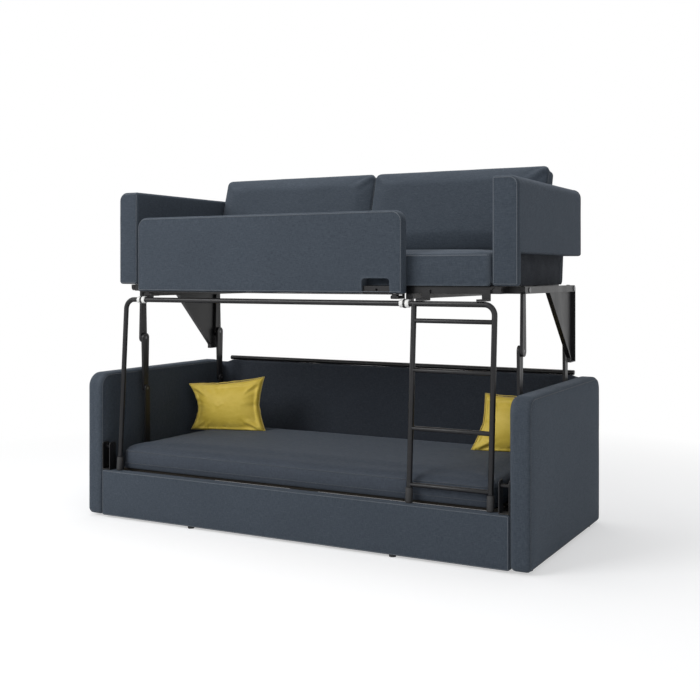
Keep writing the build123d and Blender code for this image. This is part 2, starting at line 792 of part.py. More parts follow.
with BuildPart() as hangers:
    head_bottom = runner_bottom + runner_wall + soft_gap
    for hanger_x in hanger_xs:
        block(hanger_x - hanger_head_width / 2, hanger_x + hanger_head_width / 2,
              runner_front, runner_front + hanger_head_length, head_bottom, head_bottom + hanger_head_height)
        with BuildSketch(side_plane(hanger_x - hanger_thickness / 2)):
            with Locations((tube_y, tube_height)):
                Circle(hanger_eye_radius)
            with BuildLine():
                Polyline(
                    (tube_y, tube_height - hanger_eye_radius),
                    (runner_front + hanger_neck_width, runner_bottom - hanger_thickness),
                    (runner_front + hanger_neck_width, head_bottom),
                    (runner_front, head_bottom),
                    (runner_front, runner_bottom),
                    (tube_y, tube_height + hanger_eye_radius),
                    close=True,
                )
            make_face()
            with Locations((tube_y, tube_height)):
                Circle(tube_radius + fit_gap, mode=Mode.SUBTRACT)
        extrude(amount=hanger_thickness)
hangers.part.label = "hangers"
export_step(hangers.part, "parts/hangers.step")

with BuildPart() as frame_tube:
    with BuildLine(frame_plane) as tube_route:
        FilletPolyline(
            (-frame_half_width, shoe_floor - leg_length),
            (-frame_half_width, 0),
            (frame_half_width, 0),
            (frame_half_width, shoe_floor - leg_length),
            radius=bend_radius,
        )
    with BuildSketch(Plane(origin=tube_route.line @ 0, z_dir=tube_route.line % 0)):
        Circle(tube_radius)
        Circle(tube_bore_radius, mode=Mode.SUBTRACT)
    sweep()
frame_tube.part.label = "frame_tube"
export_step(frame_tube.part, "parts/frame_tube.step")

with BuildPart() as inner_stringer:
    stringer_top = frame_plane.from_local_coords((ladder_inner_x, 0, 0))
    leg_down = -frame_plane.y_dir
    with BuildSketch(Plane(origin=stringer_top, z_dir=leg_down)):
        Circle(tube_radius)
        Circle(tube_bore_radius, mode=Mode.SUBTRACT)
    extrude(amount=leg_length - shoe_floor)
    rod(ladder_inner_x - bush_radius, ladder_inner_x + bush_radius, tube_y, tube_height,
        tube_radius + fit_gap, Mode.SUBTRACT)
inner_stringer.part.label = "inner_stringer"
export_step(inner_stringer.part, "parts/inner_stringer.step")

with BuildPart() as rungs:
    for rung_height in rung_heights:
        rung_reach = (tube_height - rung_height) / cos(frame_lean)
        rung_middle = frame_plane.from_local_coords(((ladder_inner_x + frame_half_width) / 2, -rung_reach, 0))
        with Locations(Plane(origin=rung_middle, z_dir=(1, 0, 0))):
            Cylinder(rung_radius, frame_half_width - ladder_inner_x)
    for stringer_x in (ladder_inner_x, frame_half_width):
        stringer_middle = frame_plane.from_local_coords((stringer_x, -leg_length / 2, 0))
        with Locations(Plane(origin=stringer_middle, z_dir=leg_down)):
            Cylinder(tube_radius + fit_gap, leg_length, mode=Mode.SUBTRACT)
rungs.part.label = "rungs"
export_step(rungs.part, "parts/rungs.step")

with BuildPart() as bushes:
    for hanger_x in hanger_xs:
        for direction in (-1, 1):
            bush_start = hanger_x + direction * (hanger_thickness / 2 + soft_gap)
            rod(bush_start, bush_start + direction * bush_length, tube_y, tube_height, bush_radius)
    rod(hanger_xs[0] - runner_width, hanger_xs[1] + runner_width, tube_y, tube_height,
        tube_radius + fit_gap, Mode.SUBTRACT)
bushes.part.label = "bushes"
export_step(bushes.part, "parts/bushes.step")

with BuildPart() as foot_shoes:
    for foot_x in (-frame_half_width, ladder_inner_x, frame_half_width):
        shoe_bottom = frame_plane.from_local_coords((foot_x, -leg_length, 0))
        with BuildSketch(Plane(origin=shoe_bottom, z_dir=frame_plane.y_dir)):
            Circle(shoe_radius)
        extrude(amount=shoe_height)
        shoe_seat = frame_plane.from_local_coords((foot_x, shoe_floor - leg_length, 0))
        with BuildSketch(Plane(origin=shoe_seat, z_dir=frame_plane.y_dir)):
            Circle(tube_radius + fit_gap)
        extrude(amount=shoe_height, mode=Mode.SUBTRACT)
foot_shoes.part.label = "foot_shoes"
export_step(foot_shoes.part, "parts/foot_shoes.step")

# Guard

with BuildPart() as guard_panel:
    guard_plane = Plane(origin=(0, guard_rear, 0), x_dir=(1, 0, 0), z_dir=(0, -1, 0))
    with BuildSketch(guard_plane):
        with Locations(((guard_left_x + guard_right_x) / 2, (guard_bottom + guard_top) / 2)):
            Rectangle(guard_right_x - guard_left_x, guard_top - guard_bottom)
        fillet(vertices().group_by(Axis.Y)[-1], guard_corner_radius)
    extrude(amount=guard_thickness)
    fillet(faces().filter_by(Axis.Y).edges(), guard_edge_radius)
    with BuildSketch(guard_plane.offset(-cut_overrun)):
        with Locations((handhole_left_x + handhole_width / 2, guard_bottom + handhole_height / 2)):
            Rectangle(handhole_width, handhole_height)
        fillet(vertices().group_by(Axis.Y)[-1], handhole_radius)
    extrude(amount=guard_thickness + 2 * cut_overrun, mode=Mode.SUBTRACT)
guard_panel.part.label = "guard_panel"
export_step(guard_panel.part, "parts/guard_panel.step")

with BuildPart() as guard_strip:
    strip_middle = guard_front + guard_thickness / 2
    block(guard_left_x + strip_inset, guard_right_x - strip_inset, strip_middle - strip_width / 2,
          strip_middle + strip_width / 2, guard_bottom - soft_gap - strip_thickness, guard_bottom - soft_gap)
guard_strip.part.label = "guard_strip"
export_step(guard_strip.part, "parts/guard_strip.step")

with BuildPart() as handhole_plate:
    plate_left = handhole_left_x + soft_gap
    plate_right = handhole_left_x + handhole_width - soft_gap
    block(plate_left, plate_right, strip_middle - plate_thickness / 2, strip_middle + plate_thickness / 2,
          guard_bottom - soft_gap, guard_bottom + plate_height)
    hole_place = ((plate_left + plate_right) / 2, strip_middle, guard_bottom + plate_height / 2)
    with Locations(Plane(origin=hole_place, z_dir=(0, -1, 0))):
        Cylinder(plate_hole_radius, plate_thickness + cut_overrun, mode=Mode.SUBTRACT)
handhole_plate.part.label = "handhole_plate"
export_step(handhole_plate.part, "parts/handhole_plate.step")

with BuildPart() as guard_lugs:
    for hinge_x in hinge_xs:
        with BuildSketch(side_plane(hinge_x - lug_width / 2)):
            with Locations((hinge_y, hinge_height)):
                Circle(hinge_radius)
            lug_top = guard_bottom - soft_gap - strip_thickness
            with Locations((hinge_y, (hinge_height + lug_top) / 2)):
                Rectangle(2 * hinge_radius, lug_top - hinge_height)
            with Locations((hinge_y, hinge_height)):
                Circle(hinge_pin_radius + fit_gap, mode=Mode.SUBTRACT)
        extrude(amount=lug_width)
guard_lugs.part.label = "guard_lugs"
export_step(guard_lugs.part, "parts/guard_lugs.step")

with BuildPart() as hinge_ears:
    for hinge_x in hinge_xs:
        for direction in (-1, 1):
            ear_x = hinge_x + direction * (lug_width / 2 + ear_play)
            with BuildSketch(side_plane(ear_x)):
                with Locations((hinge_y, hinge_height)):
                    Circle(hinge_radius)
                with BuildLine():
                    Polyline(
                        (hinge_y, hinge_height - hinge_radius),
                        (deck_front, hinge_height - hinge_radius),
                        (deck_front, side_bar_top),
                        (guard_rear + upper_front_thickness * hinge_leaf_share, side_bar_top),
                        (guard_rear + upper_front_thickness * hinge_leaf_share, hinge_height + hinge_radius),
                        (hinge_y, hinge_height + hinge_radius),
                        close=True,
                    )
                make_face()
                with Locations((hinge_y, hinge_height)):
                    Circle(hinge_pin_radius + fit_gap, mode=Mode.SUBTRACT)
            extrude(amount=direction * ear_thickness)
hinge_ears.part.label = "hinge_ears"
export_step(hinge_ears.part, "parts/hinge_ears.step")

with BuildPart() as hinge_pins:
    pin_reach = lug_width / 2 + ear_play + ear_thickness
    for hinge_x in hinge_xs:
        rod(hinge_x - pin_reach, hinge_x + pin_reach, hinge_y, hinge_height, hinge_pin_radius)
hinge_pins.part.label = "hinge_pins"
export_step(hinge_pins.part, "parts/hinge_pins.step")
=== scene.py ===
import math

import bpy
import bmesh
from mathutils import Matrix, Vector, noise
from mathutils.bvhtree import BVHTree


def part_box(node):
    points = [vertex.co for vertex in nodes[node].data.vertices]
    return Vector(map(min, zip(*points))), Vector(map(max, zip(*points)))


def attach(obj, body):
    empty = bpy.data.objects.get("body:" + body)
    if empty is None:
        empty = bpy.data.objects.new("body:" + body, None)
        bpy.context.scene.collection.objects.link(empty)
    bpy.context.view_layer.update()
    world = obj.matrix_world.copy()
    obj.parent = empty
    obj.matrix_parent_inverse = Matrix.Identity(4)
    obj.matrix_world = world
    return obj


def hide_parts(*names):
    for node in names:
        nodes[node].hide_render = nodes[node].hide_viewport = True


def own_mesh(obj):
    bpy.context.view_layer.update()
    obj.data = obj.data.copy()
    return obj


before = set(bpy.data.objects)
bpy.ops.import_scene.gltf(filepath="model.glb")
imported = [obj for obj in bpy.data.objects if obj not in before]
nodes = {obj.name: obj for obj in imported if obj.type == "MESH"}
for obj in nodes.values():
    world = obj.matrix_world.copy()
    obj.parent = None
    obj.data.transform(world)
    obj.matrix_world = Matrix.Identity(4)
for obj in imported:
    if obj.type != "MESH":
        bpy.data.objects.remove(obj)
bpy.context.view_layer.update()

# The sofa bed's looks, built round the CAD frame, in metres.
# X is the width, Y runs from the front to the back and Z is up.
scene = bpy.context.scene
both_sides = (("left", -1), ("right", 1))
front_plane = -0.495


def setback(value):
    """The Y of a place that many metres behind the front plane."""
    return front_plane + value


# Camera, fitted to the photograph's vanishing lines and edges
camera_data = bpy.data.cameras.new("camera")
camera = bpy.data.objects.new("camera", camera_data)
scene.collection.objects.link(camera)
camera.location = (2.2767, -4.157, 1.0981)
camera.rotation_euler = (math.radians(90), 0, math.radians(28.24))
camera_data.sensor_width = 36
camera_data.lens = 54.1
camera_data.shift_y = -0.108
scene.camera = camera
scene.view_settings.view_transform = "Standard"

# Materials


def fill(node, **values):
    """Sets a node's inputs by name, with an underscore for each space."""
    for key, value in values.items():
        node.inputs[key.replace("_", " ")].default_value = value
    return node


class Nodes:
    """A material's node tree, with short calls to add and join nodes."""

    def __init__(self, name):
        self.material = bpy.data.materials.new(name)
        self.material.use_nodes = True
        self.tree = self.material.node_tree
        self.shader = self.tree.nodes["Principled BSDF"]
        self.coords = self.add("ShaderNodeTexCoord").outputs["Object"]

    def add(self, kind, **settings):
        node = self.tree.nodes.new(kind)
        for key, value in settings.items():
            setattr(node, key, value)
        return node

    def join(self, source, target):
        self.tree.links.new(source, target)

    def set(self, **values):
        fill(self.shader, **values)

    def noise(self, scale, detail, rough, stretch=(1, 1, 1)):
        stretched = fill(self.add("ShaderNodeMapping"), Scale=stretch)
        self.join(self.coords, stretched.inputs["Vector"])
        node = fill(self.add("ShaderNodeTexNoise"), Scale=scale, Detail=detail, Roughness=rough)
        self.join(stretched.outputs["Vector"], node.inputs["Vector"])
        return node.outputs["Fac"]

    def wave(self, scale, direction, source=None, distortion=0.0):
        node = self.add("ShaderNodeTexWave", wave_type="BANDS", bands_direction=direction)
        fill(node, Scale=scale, Distortion=distortion, Detail=1.0)
        self.join(source or self.coords, node.inputs["Vector"])
        return node.outputs["Fac"]

    def math(self, operation, first, second):
        node = self.add("ShaderNodeMath", operation=operation)
        for socket, value in zip(node.inputs, (first, second)):
            if isinstance(value, (int, float)):
                socket.default_value = value
            else:
                self.join(value, socket)
        return node.outputs[0]

    def times(self, first, second):
        return self.math("MULTIPLY", first, second)

    def plus(self, first, second):
        return self.math("ADD", first, second)

    def most(self, first, second):
        return self.math("MAXIMUM", first, second)

    def spread(self, source, low, high, to_low=0.0, to_high=1.0):
        node = self.add("ShaderNodeMapRange")
        fill(node, From_Min=low, From_Max=high, To_Min=to_low, To_Max=to_high)
        self.join(source, node.inputs["Value"])
        return node.outputs["Result"]

    def edges(self, low, high):
        """A mask of the outward edges, which hands and cloths rub."""
        return self.spread(self.add("ShaderNodeNewGeometry").outputs["Pointiness"], low, high)

    def blend(self, factor, first, second):
        node = self.add("ShaderNodeMix", data_type="RGBA")
        self.join(factor, node.inputs["Factor"])
        for index, value in ((6, first), (7, second)):
            if isinstance(value, tuple):
                node.inputs[index].default_value = (*value, 1)
            else:
                self.join(value, node.inputs[index])
        return node.outputs[2]

    def colour(self, source):
        self.join(source, self.shader.inputs["Base Color"])

    def rough(self, source):
        self.join(source, self.shader.inputs["Roughness"])

    def bump(self, height, strength, distance, under=None):
        node = fill(self.add("ShaderNodeBump"), Strength=strength, Distance=distance)
        self.join(height, node.inputs["Height"])
        if under:
            self.join(under, node.inputs["Normal"])
        self.join(node.outputs["Normal"], self.shader.inputs["Normal"])
        return node.outputs["Normal"]


def woven(name, dark, light, pale, pitch=0.0021, sheen=0.12):
    """A woven upholstery cloth: crossing threads, heathered yarn, slubs and rubbed edges."""
    m = Nodes(name)
    bands = math.pi / (10 * pitch)
    thread_x = m.wave(bands, "X", distortion=0.4)
    thread_y = m.wave(bands, "Y", distortion=0.4)
    thread_z = m.wave(bands, "Z", distortion=0.4)
    upright = m.most(m.times(thread_x, thread_z), m.times(thread_y, thread_z))
    weave = m.most(upright, m.times(thread_x, thread_y))
    yarn_across = m.noise(260, 2, 0.6, stretch=(0.25, 0.25, 1.6))
    yarn_up = m.noise(260, 2, 0.6, stretch=(1.6, 1.6, 0.25))
    heather = m.spread(m.plus(m.times(yarn_across, 0.5), m.times(yarn_up, 0.5)), 0.36, 0.64)
    cloud = m.spread(m.noise(3.2, 3, 0.5), 0.32, 0.7)
    slub = m.spread(m.noise(90, 1, 0.5, stretch=(0.3, 0.3, 3.0)), 0.66, 0.8)
    base = m.blend(heather, dark, light)
    base = m.blend(m.times(cloud, 0.22), base, tuple(0.78 * c for c in dark))
    base = m.blend(m.times(slub, 0.18), base, pale)
    worn = m.times(m.edges(0.515, 0.58), m.spread(m.noise(14, 3, 0.6), 0.3, 0.75))
    m.colour(m.blend(m.times(worn, 0.5), base, pale))
    m.rough(m.spread(heather, 0, 1, 0.95, 0.82))
    m.set(Specular_IOR_Level=0.25, Sheen_Weight=sheen, Sheen_Roughness=0.5, Sheen_Tint=(0.62, 0.72, 0.86, 1))
    soft = m.bump(cloud, 0.25, 0.004)
    m.bump(m.plus(m.times(weave, 0.6), m.times(heather, 0.5)), 0.5, 0.0007, under=soft)
    return m.material


def welt_cloth(name, dark, light):
    """The rolled edge of a seam, with its thread along it."""
    m = Nodes(name)
    twist = m.wave(60, "X", m.add("ShaderNodeUVMap").outputs["UV"])
    grain = m.noise(300, 2, 0.6)
    m.colour(m.blend(m.times(twist, grain), dark, light))
    m.rough(m.spread(grain, 0.3, 0.7, 0.9, 0.75))
    m.set(Sheen_Weight=0.15)
    m.bump(m.plus(twist, grain), 0.5, 0.0008)
    return m.material


def satin(name, dark, light, fine_light, worn_light):
    """The pillows' smooth cloth, finely woven with soft creases."""
    m = Nodes(name)
    fine = m.times(m.wave(380, "X", distortion=0.3), m.wave(380, "Z", distortion=0.3))
    grain = m.noise(420, 2, 0.6)
    crease = m.noise(17, 3, 0.6, stretch=(1, 1, 1.7))
    # The crease valleys are painted darker than the tops: painted shade in the creases.
    base = m.blend(m.spread(crease, 0.3, 0.7), dark, light)
    base = m.blend(m.times(grain, 0.25), base, fine_light)
    m.colour(m.blend(m.times(m.edges(0.50, 0.60), 0.3), base, worn_light))
    m.rough(m.spread(grain, 0.3, 0.7, 0.62, 0.48))
    m.set(Sheen_Weight=0.2, Sheen_Tint=(1.0, 0.93, 0.62, 1))
    soft = m.bump(crease, 0.35, 0.006)
    m.bump(m.plus(fine, grain), 0.3, 0.0004, under=soft)
    return m.material


def coated_steel(name, base, rubbed, roughness, metal=0.0):
    """Powder coat with a fine orange peel, dull handling marks and rubbed edges."""
    m = Nodes(name)
    peel = m.noise(820, 2, 0.5)
    smear = m.spread(m.noise(9, 4, 0.6, stretch=(1, 1, 0.35)), 0.3, 0.7)
    speck = m.spread(m.noise(260, 1, 0.5), 0.7, 0.76)
    colour = m.blend(smear, base, tuple(1.5 * c for c in base))
    worn = m.times(m.edges(0.53, 0.66), m.spread(m.noise(60, 3, 0.6), 0.35, 0.7))
    colour = m.blend(m.times(worn, 0.6), colour, rubbed)
    m.colour(m.blend(m.times(speck, 0.25), colour, rubbed))
    m.rough(m.spread(smear, 0, 1, roughness - 0.06, roughness + 0.1))
    m.set(Metallic=metal, Specular_IOR_Level=0.32)
    m.bump(peel, 0.12, 0.0004)
    return m.material


def moulded(name, base, stain, roughness):
    """Moulded nylon or rubber, with a fine texture and faint scuffs."""
    m = Nodes(name)
    grain = m.noise(900, 2, 0.6)
    scuff = m.spread(m.noise(70, 4, 0.7), 0.55, 0.75)
    m.colour(m.blend(m.times(scuff, 0.4), base, stain))
    m.rough(m.spread(grain, 0.3, 0.7, roughness, roughness + 0.15))
    m.bump(grain, 0.15, 0.0004)
    return m.material


def slat_wood(name, shade):
    """Slats with grain along X, raw or stained darker by shade."""
    m = Nodes(name)

    def tone(*colour):
        return tuple(shade * c for c in colour)

    grain = m.noise(22, 6, 0.6, stretch=(0.12, 3.2, 3.2))
    fibre = m.noise(160, 3, 0.6, stretch=(0.05, 2.0, 2.0))
    knot = m.spread(m.noise(4, 2, 0.5, stretch=(1, 4, 4)), 0.62, 0.75)
    base = m.blend(m.spread(grain, 0.3, 0.7), tone(0.58, 0.42, 0.26), tone(0.72, 0.57, 0.39))
    base = m.blend(m.times(fibre, 0.35), base, tone(0.50, 0.35, 0.21))
    m.colour(m.blend(m.times(knot, 0.3), base, tone(0.36, 0.22, 0.12)))
    m.rough(m.spread(fibre, 0.3, 0.7, 0.5, 0.66))
    m.bump(m.plus(grain, fibre), 0.25, 0.0008)
    return m.material


cloth = woven("upholstery_cloth", dark=(0.035, 0.045, 0.059), light=(0.056, 0.070, 0.089),
              pale=(0.12, 0.14, 0.16))
# A darker copy of the upholstery cloth with less sheen: painted shade for the panel at the back of the lower
# bunk.
cloth_painted_shade = woven("upholstery_cloth_painted_shade", dark=(0.026, 0.032, 0.043), light=(0.042, 0.050, 0.065),
                    pale=(0.09, 0.105, 0.13), sheen=0.06)
# A near-black copy of the upholstery cloth: painted deep shade for the seat base in the recess under the
# upper arms.
cloth_painted_deep_shade = woven("upholstery_cloth_painted_deep_shade", dark=(0.009, 0.011, 0.016), light=(0.016, 0.019, 0.026),
                     pale=(0.05, 0.055, 0.065), sheen=0.02)
cloth_mattress = woven("mattress_cloth", dark=(0.039, 0.048, 0.063), light=(0.058, 0.070, 0.090),
                       pale=(0.11, 0.12, 0.14))
# The welts are real seams, but their pale colour is a painted highlight along the edges they run on.
welt = welt_cloth("seam_welt", dark=(0.075, 0.090, 0.110), light=(0.17, 0.19, 0.215))
pillow_seam = welt_cloth("pillow_seam", dark=(0.62, 0.46, 0.07), light=(0.86, 0.76, 0.36))
welt_plain = welt_cloth("seam_welt_plain", dark=(0.040, 0.050, 0.064), light=(0.085, 0.100, 0.120))
# A near-black copy of the welt: painted shade along rear edges and where parts meet.
welt_painted_shade = welt_cloth("seam_welt_painted_shade", dark=(0.010, 0.013, 0.018), light=(0.028, 0.034, 0.044))
pillow_cloth = satin("pillow_satin", dark=(0.700, 0.505, 0.044), light=(0.800, 0.600, 0.085),
                     fine_light=(0.84, 0.66, 0.14), worn_light=(0.88, 0.74, 0.28))
black_steel = coated_steel("black_powder_coat", (0.006, 0.006, 0.007), rubbed=(0.07, 0.07, 0.075),
                           roughness=0.34)
grey_steel = coated_steel("grey_powder_coat", (0.012, 0.0125, 0.0135), rubbed=(0.10, 0.10, 0.11),
                          roughness=0.42)
zinc = coated_steel("dark_zinc", (0.12, 0.12, 0.125), rubbed=(0.4, 0.4, 0.42), roughness=0.38, metal=1.0)
nylon = moulded("white_nylon", (0.80, 0.80, 0.78), stain=(0.52, 0.52, 0.50), roughness=0.36)
rubber = moulded("black_rubber", (0.016, 0.016, 0.017), stain=(0.05, 0.05, 0.05), roughness=0.62)
wood = slat_wood("birch_slat", shade=1.0)
stained_wood = slat_wood("stained_slat", shade=0.03)

# Mesh code
same_place = 1e-5
seam_lift = 0.0002
mesh_step = 0.035


def held(value, least, most):
    """The value, kept between two limits."""
    return min(max(value, least), most)


def make_object(name, points, faces, material, merge=True):
    """A new, smooth mesh object. Points that share a place become one."""
    mesh = bpy.data.meshes.new(name)
    mesh.from_pydata([tuple(p) for p in points], [], faces)
    mesh.polygons.foreach_set("use_smooth", [True] * len(mesh.polygons))
    mesh.materials.append(material)
    obj = bpy.data.objects.new(name, mesh)
    scene.collection.objects.link(obj)
    face_outward(obj, merge)
    return obj


def face_outward(obj, merge=False):
    """Turns an object's faces outward."""
    body = bmesh.new()
    body.from_mesh(obj.data)
    if merge:
        bmesh.ops.remove_doubles(body, verts=body.verts, dist=same_place)
    bmesh.ops.recalc_face_normals(body, faces=body.faces)
    body.to_mesh(obj.data)
    body.free()


def rounded_loop(a0, a1, b0, b1, radii, inset, step, corner_steps=7):
    """A rounded rectangle's points, drawn in evenly by inset, always with the same count.
    radii are for the corners low-low, high-low, high-high and low-high."""
    across = max(2, round((a1 - a0) / step))
    up = max(2, round((b1 - b0) / step))
    middle_a, middle_b = (a0 + a1) / 2, (b0 + b1) / 2
    a0, a1 = min(a0 + inset, middle_a), max(a1 - inset, middle_a)
    b0, b1 = min(b0 + inset, middle_b), max(b1 - inset, middle_b)
    half = min(a1 - a0, b1 - b0) / 2
    least_radius, least_half, radius_left = 0.0002, 0.0001, 0.08
    arcs = []
    places = ((a0, b0, 1, 1, 180), (a1, b0, -1, 1, 270), (a1, b1, -1, -1, 0), (a0, b1, 1, -1, 90))
    for (a, b, turn_a, turn_b, begin), radius in zip(places, radii):
        r = min(max(radius - inset, radius * radius_left, least_radius), max(half, least_half))
        arc = []
        for k in range(corner_steps + 1):
            angle = math.radians(begin + 90 * k / corner_steps)
            arc.append((a + turn_a * r + r * math.cos(angle), b + turn_b * r + r * math.sin(angle)))
        arcs.append(arc)
    loop = []
    for index, arc in enumerate(arcs):
        after = arcs[(index + 1) % 4][0]
        count = across if index % 2 == 0 else up
        loop += arc
        for k in range(1, count):
            share = k / count
            loop.append((arc[-1][0] + (after[0] - arc[-1][0]) * share,
                         arc[-1][1] + (after[1] - arc[-1][1]) * share))
    return loop


def strip_faces(rows, count, closed=False):
    """Quads between rows of count points each; a closed strip joins its last row to its first."""
    faces = []
    for k in range(rows if closed else rows - 1):
        here, there = k * count, (k + 1) % rows * count
        for j in range(count):
            following = (j + 1) % count
            faces.append((here + j, here + following, there + following, there + j))
    if not closed:
        faces.append(tuple(range(count)))
        faces.append(tuple((rows - 1) * count + j for j in range(count)))
    return faces


def skin(name, loops, material):
    """A closed surface through loops of equal count."""
    points = [p for loop in loops for p in loop]
    return make_object(name, points, strip_faces(len(loops), len(loops[0])), material)


def rounded_edge(edge, rings):
    """Pairs of inset and depth along a quarter round, from the face to the side."""
    pairs = []
    for k in range(rings + 1):
        angle = math.pi / 2 * k / rings
        pairs.append((edge * (1 - math.sin(angle)), edge * (1 - math.cos(angle))))
    return pairs


def slab_loops(axis, low, high, radii, edge, puff, reach, step):
    """The loops of a padded board across axis, X or Y, and its low and high seam. Its edges are
    rounded, and its two faces swell by puff within reach of the edge."""
    cap_rings, edge_rings, side_rings = 6, 4, 3
    deepest_share, ring_power = 0.985, 1.25
    index = (1, 2, 0) if axis == "X" else (0, 2, 1)
    a0, b0, c0 = (low[i] for i in index)
    a1, b1, c1 = (high[i] for i in index)
    deepest = min(a1 - a0, b1 - b0) / 2 * deepest_share
    insets = [edge + (deepest - edge) * (k / cap_rings) ** ring_power for k in range(1, cap_rings + 1)]

    def swelled(inset, amount):
        return amount * math.sin(min(1.0, (inset - edge) / reach) * math.pi / 2)

    stations = [(inset, c0 - swelled(inset, puff[0])) for inset in reversed(insets)]
    stations += [(inset, c0 + depth) for inset, depth in rounded_edge(edge, edge_rings)]
    for k in range(1, side_rings + 1):
        stations.append((0.0, c0 + edge + (c1 - c0 - 2 * edge) * k / (side_rings + 1)))
    stations += [(inset, c1 - depth) for inset, depth in reversed(rounded_edge(edge, edge_rings))]
    stations += [(inset, c1 + swelled(inset, puff[1])) for inset in insets]
    loops = []
    for inset, c in stations:
        loop = rounded_loop(a0, a1, b0, b1, radii, inset, step)
        loops.append([Vector((c, a, b) if axis == "X" else (a, c, b)) for a, b in loop])
    return loops, loops[cap_rings + 1], loops[-cap_rings - 2]


def push(obj, amount):
    """Moves each point of a piece along its normal, by what amount says for its place."""
    mesh = obj.data
    mesh.update()
    moves = [vertex.normal * amount(vertex.co) for vertex in mesh.vertices]
    for vertex, move in zip(mesh.vertices, moves):
        vertex.co += move
    mesh.update()


def ruffle(obj, depth, size, seed, stretch=(1, 1, 1)):
    """Moves a piece's surface inward by a smooth, unsteady amount, as cloth over foam lies."""
    begin = Vector((seed * 7.3, seed * 3.1, seed))
    coarse, fine, fine_scale = 0.6, 0.4, 2.3

    def amount(co):
        at = Vector((co[i] * stretch[i] for i in range(3))) / size + begin
        wave = noise.noise(at) * coarse + noise.noise(at * fine_scale) * fine
        return -depth * (0.5 + 0.5 * wave)

    push(obj, amount)


def tube(name, path, radius, material, body, closed=False):
    """A thin tube of cloth or thread along points, with its length in its UV map."""
    facets, uv_per_metre = 7, 10
    count = len(path)
    points, lengths = [], [0.0]
    for k in range(1, count + (1 if closed else 0)):
        lengths.append(lengths[-1] + (path[k % count] - path[k - 1]).length)
    up = None
    for k in range(count):
        ahead = path[(k + 1) % count] if closed or k < count - 1 else path[k]
        behind = path[k - 1] if closed or k > 0 else path[k]
        along = (ahead - behind).normalized()
        if up is None:
            up = along.orthogonal().normalized()
        up = (up - along * up.dot(along)).normalized()
        side = along.cross(up)
        for j in range(facets):
            angle = 2 * math.pi * j / facets
            points.append(path[k] + (up * math.cos(angle) + side * math.sin(angle)) * radius)
    obj = make_object(name, points, strip_faces(count, facets, closed), material, merge=False)
    mesh = obj.data
    layer = mesh.uv_layers.new(name="length")
    for polygon in mesh.polygons:
        last_row = closed and polygon.index // facets == count - 1
        for loop_index in polygon.loop_indices:
            at = mesh.loops[loop_index].vertex_index // facets
            u = lengths[-1] if last_row and at == 0 else lengths[at]
            layer.data[loop_index].uv = (u * uv_per_metre, 0)
    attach(obj, body)
    return obj


def lay_on(path, obj, lift=seam_lift):
    """Moves points to the nearest place on a piece's surface, and off it by lift."""
    body = bmesh.new()
    body.from_mesh(obj.data)
    tree = BVHTree.FromBMesh(body)
    laid = []
    for point in path:
        spot, normal, _, _ = tree.find_nearest(point)
        laid.append(spot + normal * lift)
    body.free()
    return laid


def finish_soft(obj, body, node):
    """A soft piece rides with a body and stands for its CAD node."""
    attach(obj, body)
    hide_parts(node)


def padded_board(node, body, axis, radii, edge, puff, reach, step, material, folds, reshape=None):
    """The cloth cover of a padded board. Returns it with its low and high seam."""
    low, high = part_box(node)
    loops, low_seam, high_seam = slab_loops(axis, low, high, radii, edge, puff, reach, step)
    if reshape:
        for loop in loops:
            for point in loop:
                reshape(point, high[2])
    cover = skin(f"{node}_cover", loops, material)
    ruffle(cover, *folds)
    finish_soft(cover, body, node)
    return cover, low_seam, high_seam


def grid_box(name, low, high, radius, step, material):
    """A box skinned with an even grid, its edges and corners rounded."""
    counts = [max(3, round((high[i] - low[i]) / step)) for i in range(3)]
    points, faces, known = [], [], {}
    nothing = 1e-9

    def corner(*key):
        if key not in known:
            known[key] = len(points)
            raw = Vector((low[n] + (high[n] - low[n]) * c / counts[n] for n, c in enumerate(key)))
            core = Vector((held(raw[n], low[n] + radius, high[n] - radius) for n in range(3)))
            away = raw - core
            # Points on an edge's flats are spread round its arc.
            if sum(1 for n in range(3) if abs(away[n]) > nothing) > 1:
                away = Vector((math.tan(away[n] / radius * math.pi / 4) for n in range(3)))
            points.append(core + (away.normalized() * radius if away.length > nothing else away))
        return known[key]

    for n in range(3):
        u, v = (n + 1) % 3, (n + 2) % 3
        for end in (0, counts[n]):
            for i in range(counts[u]):
                for j in range(counts[v]):
                    quad = []
                    for di, dj in ((0, 0), (1, 0), (1, 1), (0, 1)):
                        key = [0, 0, 0]
                        key[n], key[u], key[v] = end, i + di, j + dj
                        quad.append(corner(*key))
                    faces.append(tuple(quad))
    return make_object(name, points, faces, material)


def swell(obj, pinned, pressure, frames, cap, stiffness=14.0, mass=0.3):
    """Blows a closed cloth up in Blender's cloth solver, by cap at most, and keeps the result."""
    rest = [v.co.copy() for v in obj.data.vertices]
    group = obj.vertex_groups.new(name="pinned")
    for index, co in enumerate(rest):
        weight = pinned(co)
        if weight > 0:
            group.add([index], weight, "REPLACE")
    modifier = obj.modifiers.new("cloth", "CLOTH")
    settings = modifier.settings
    settings.quality = 5
    settings.mass = mass
    settings.use_pressure = True
    settings.uniform_pressure_force = pressure
    settings.tension_stiffness = settings.compression_stiffness = stiffness
    settings.shear_stiffness = stiffness / 3
    settings.bending_stiffness = 0.5
    settings.vertex_group_mass = "pinned"
    settings.effector_weights.gravity = 0
    modifier.collision_settings.use_collision = False
    modifier.point_cache.frame_start = 1
    modifier.point_cache.frame_end = frames
    for number in range(1, frames + 1):
        scene.frame_set(number)
    evaluated = obj.evaluated_get(bpy.context.evaluated_depsgraph_get())
    moved = [v.co.copy() for v in evaluated.data.vertices]
    obj.modifiers.clear()
    scene.frame_set(1)
    for vertex, before, after in zip(obj.data.vertices, rest, moved):
        step = after - before
        if step.length > cap:
            step = step.normalized() * cap
        vertex.co = before + step
    obj.vertex_groups.clear()
    obj.data.update()


# Radii of the welts
lower_welt, mattress_welt, upper_welt, cushion_welt = 0.0014, 0.0015, 0.0016, 0.0018
rear_welt, bold_welt = 0.0020, 0.0022

# Lower sofa


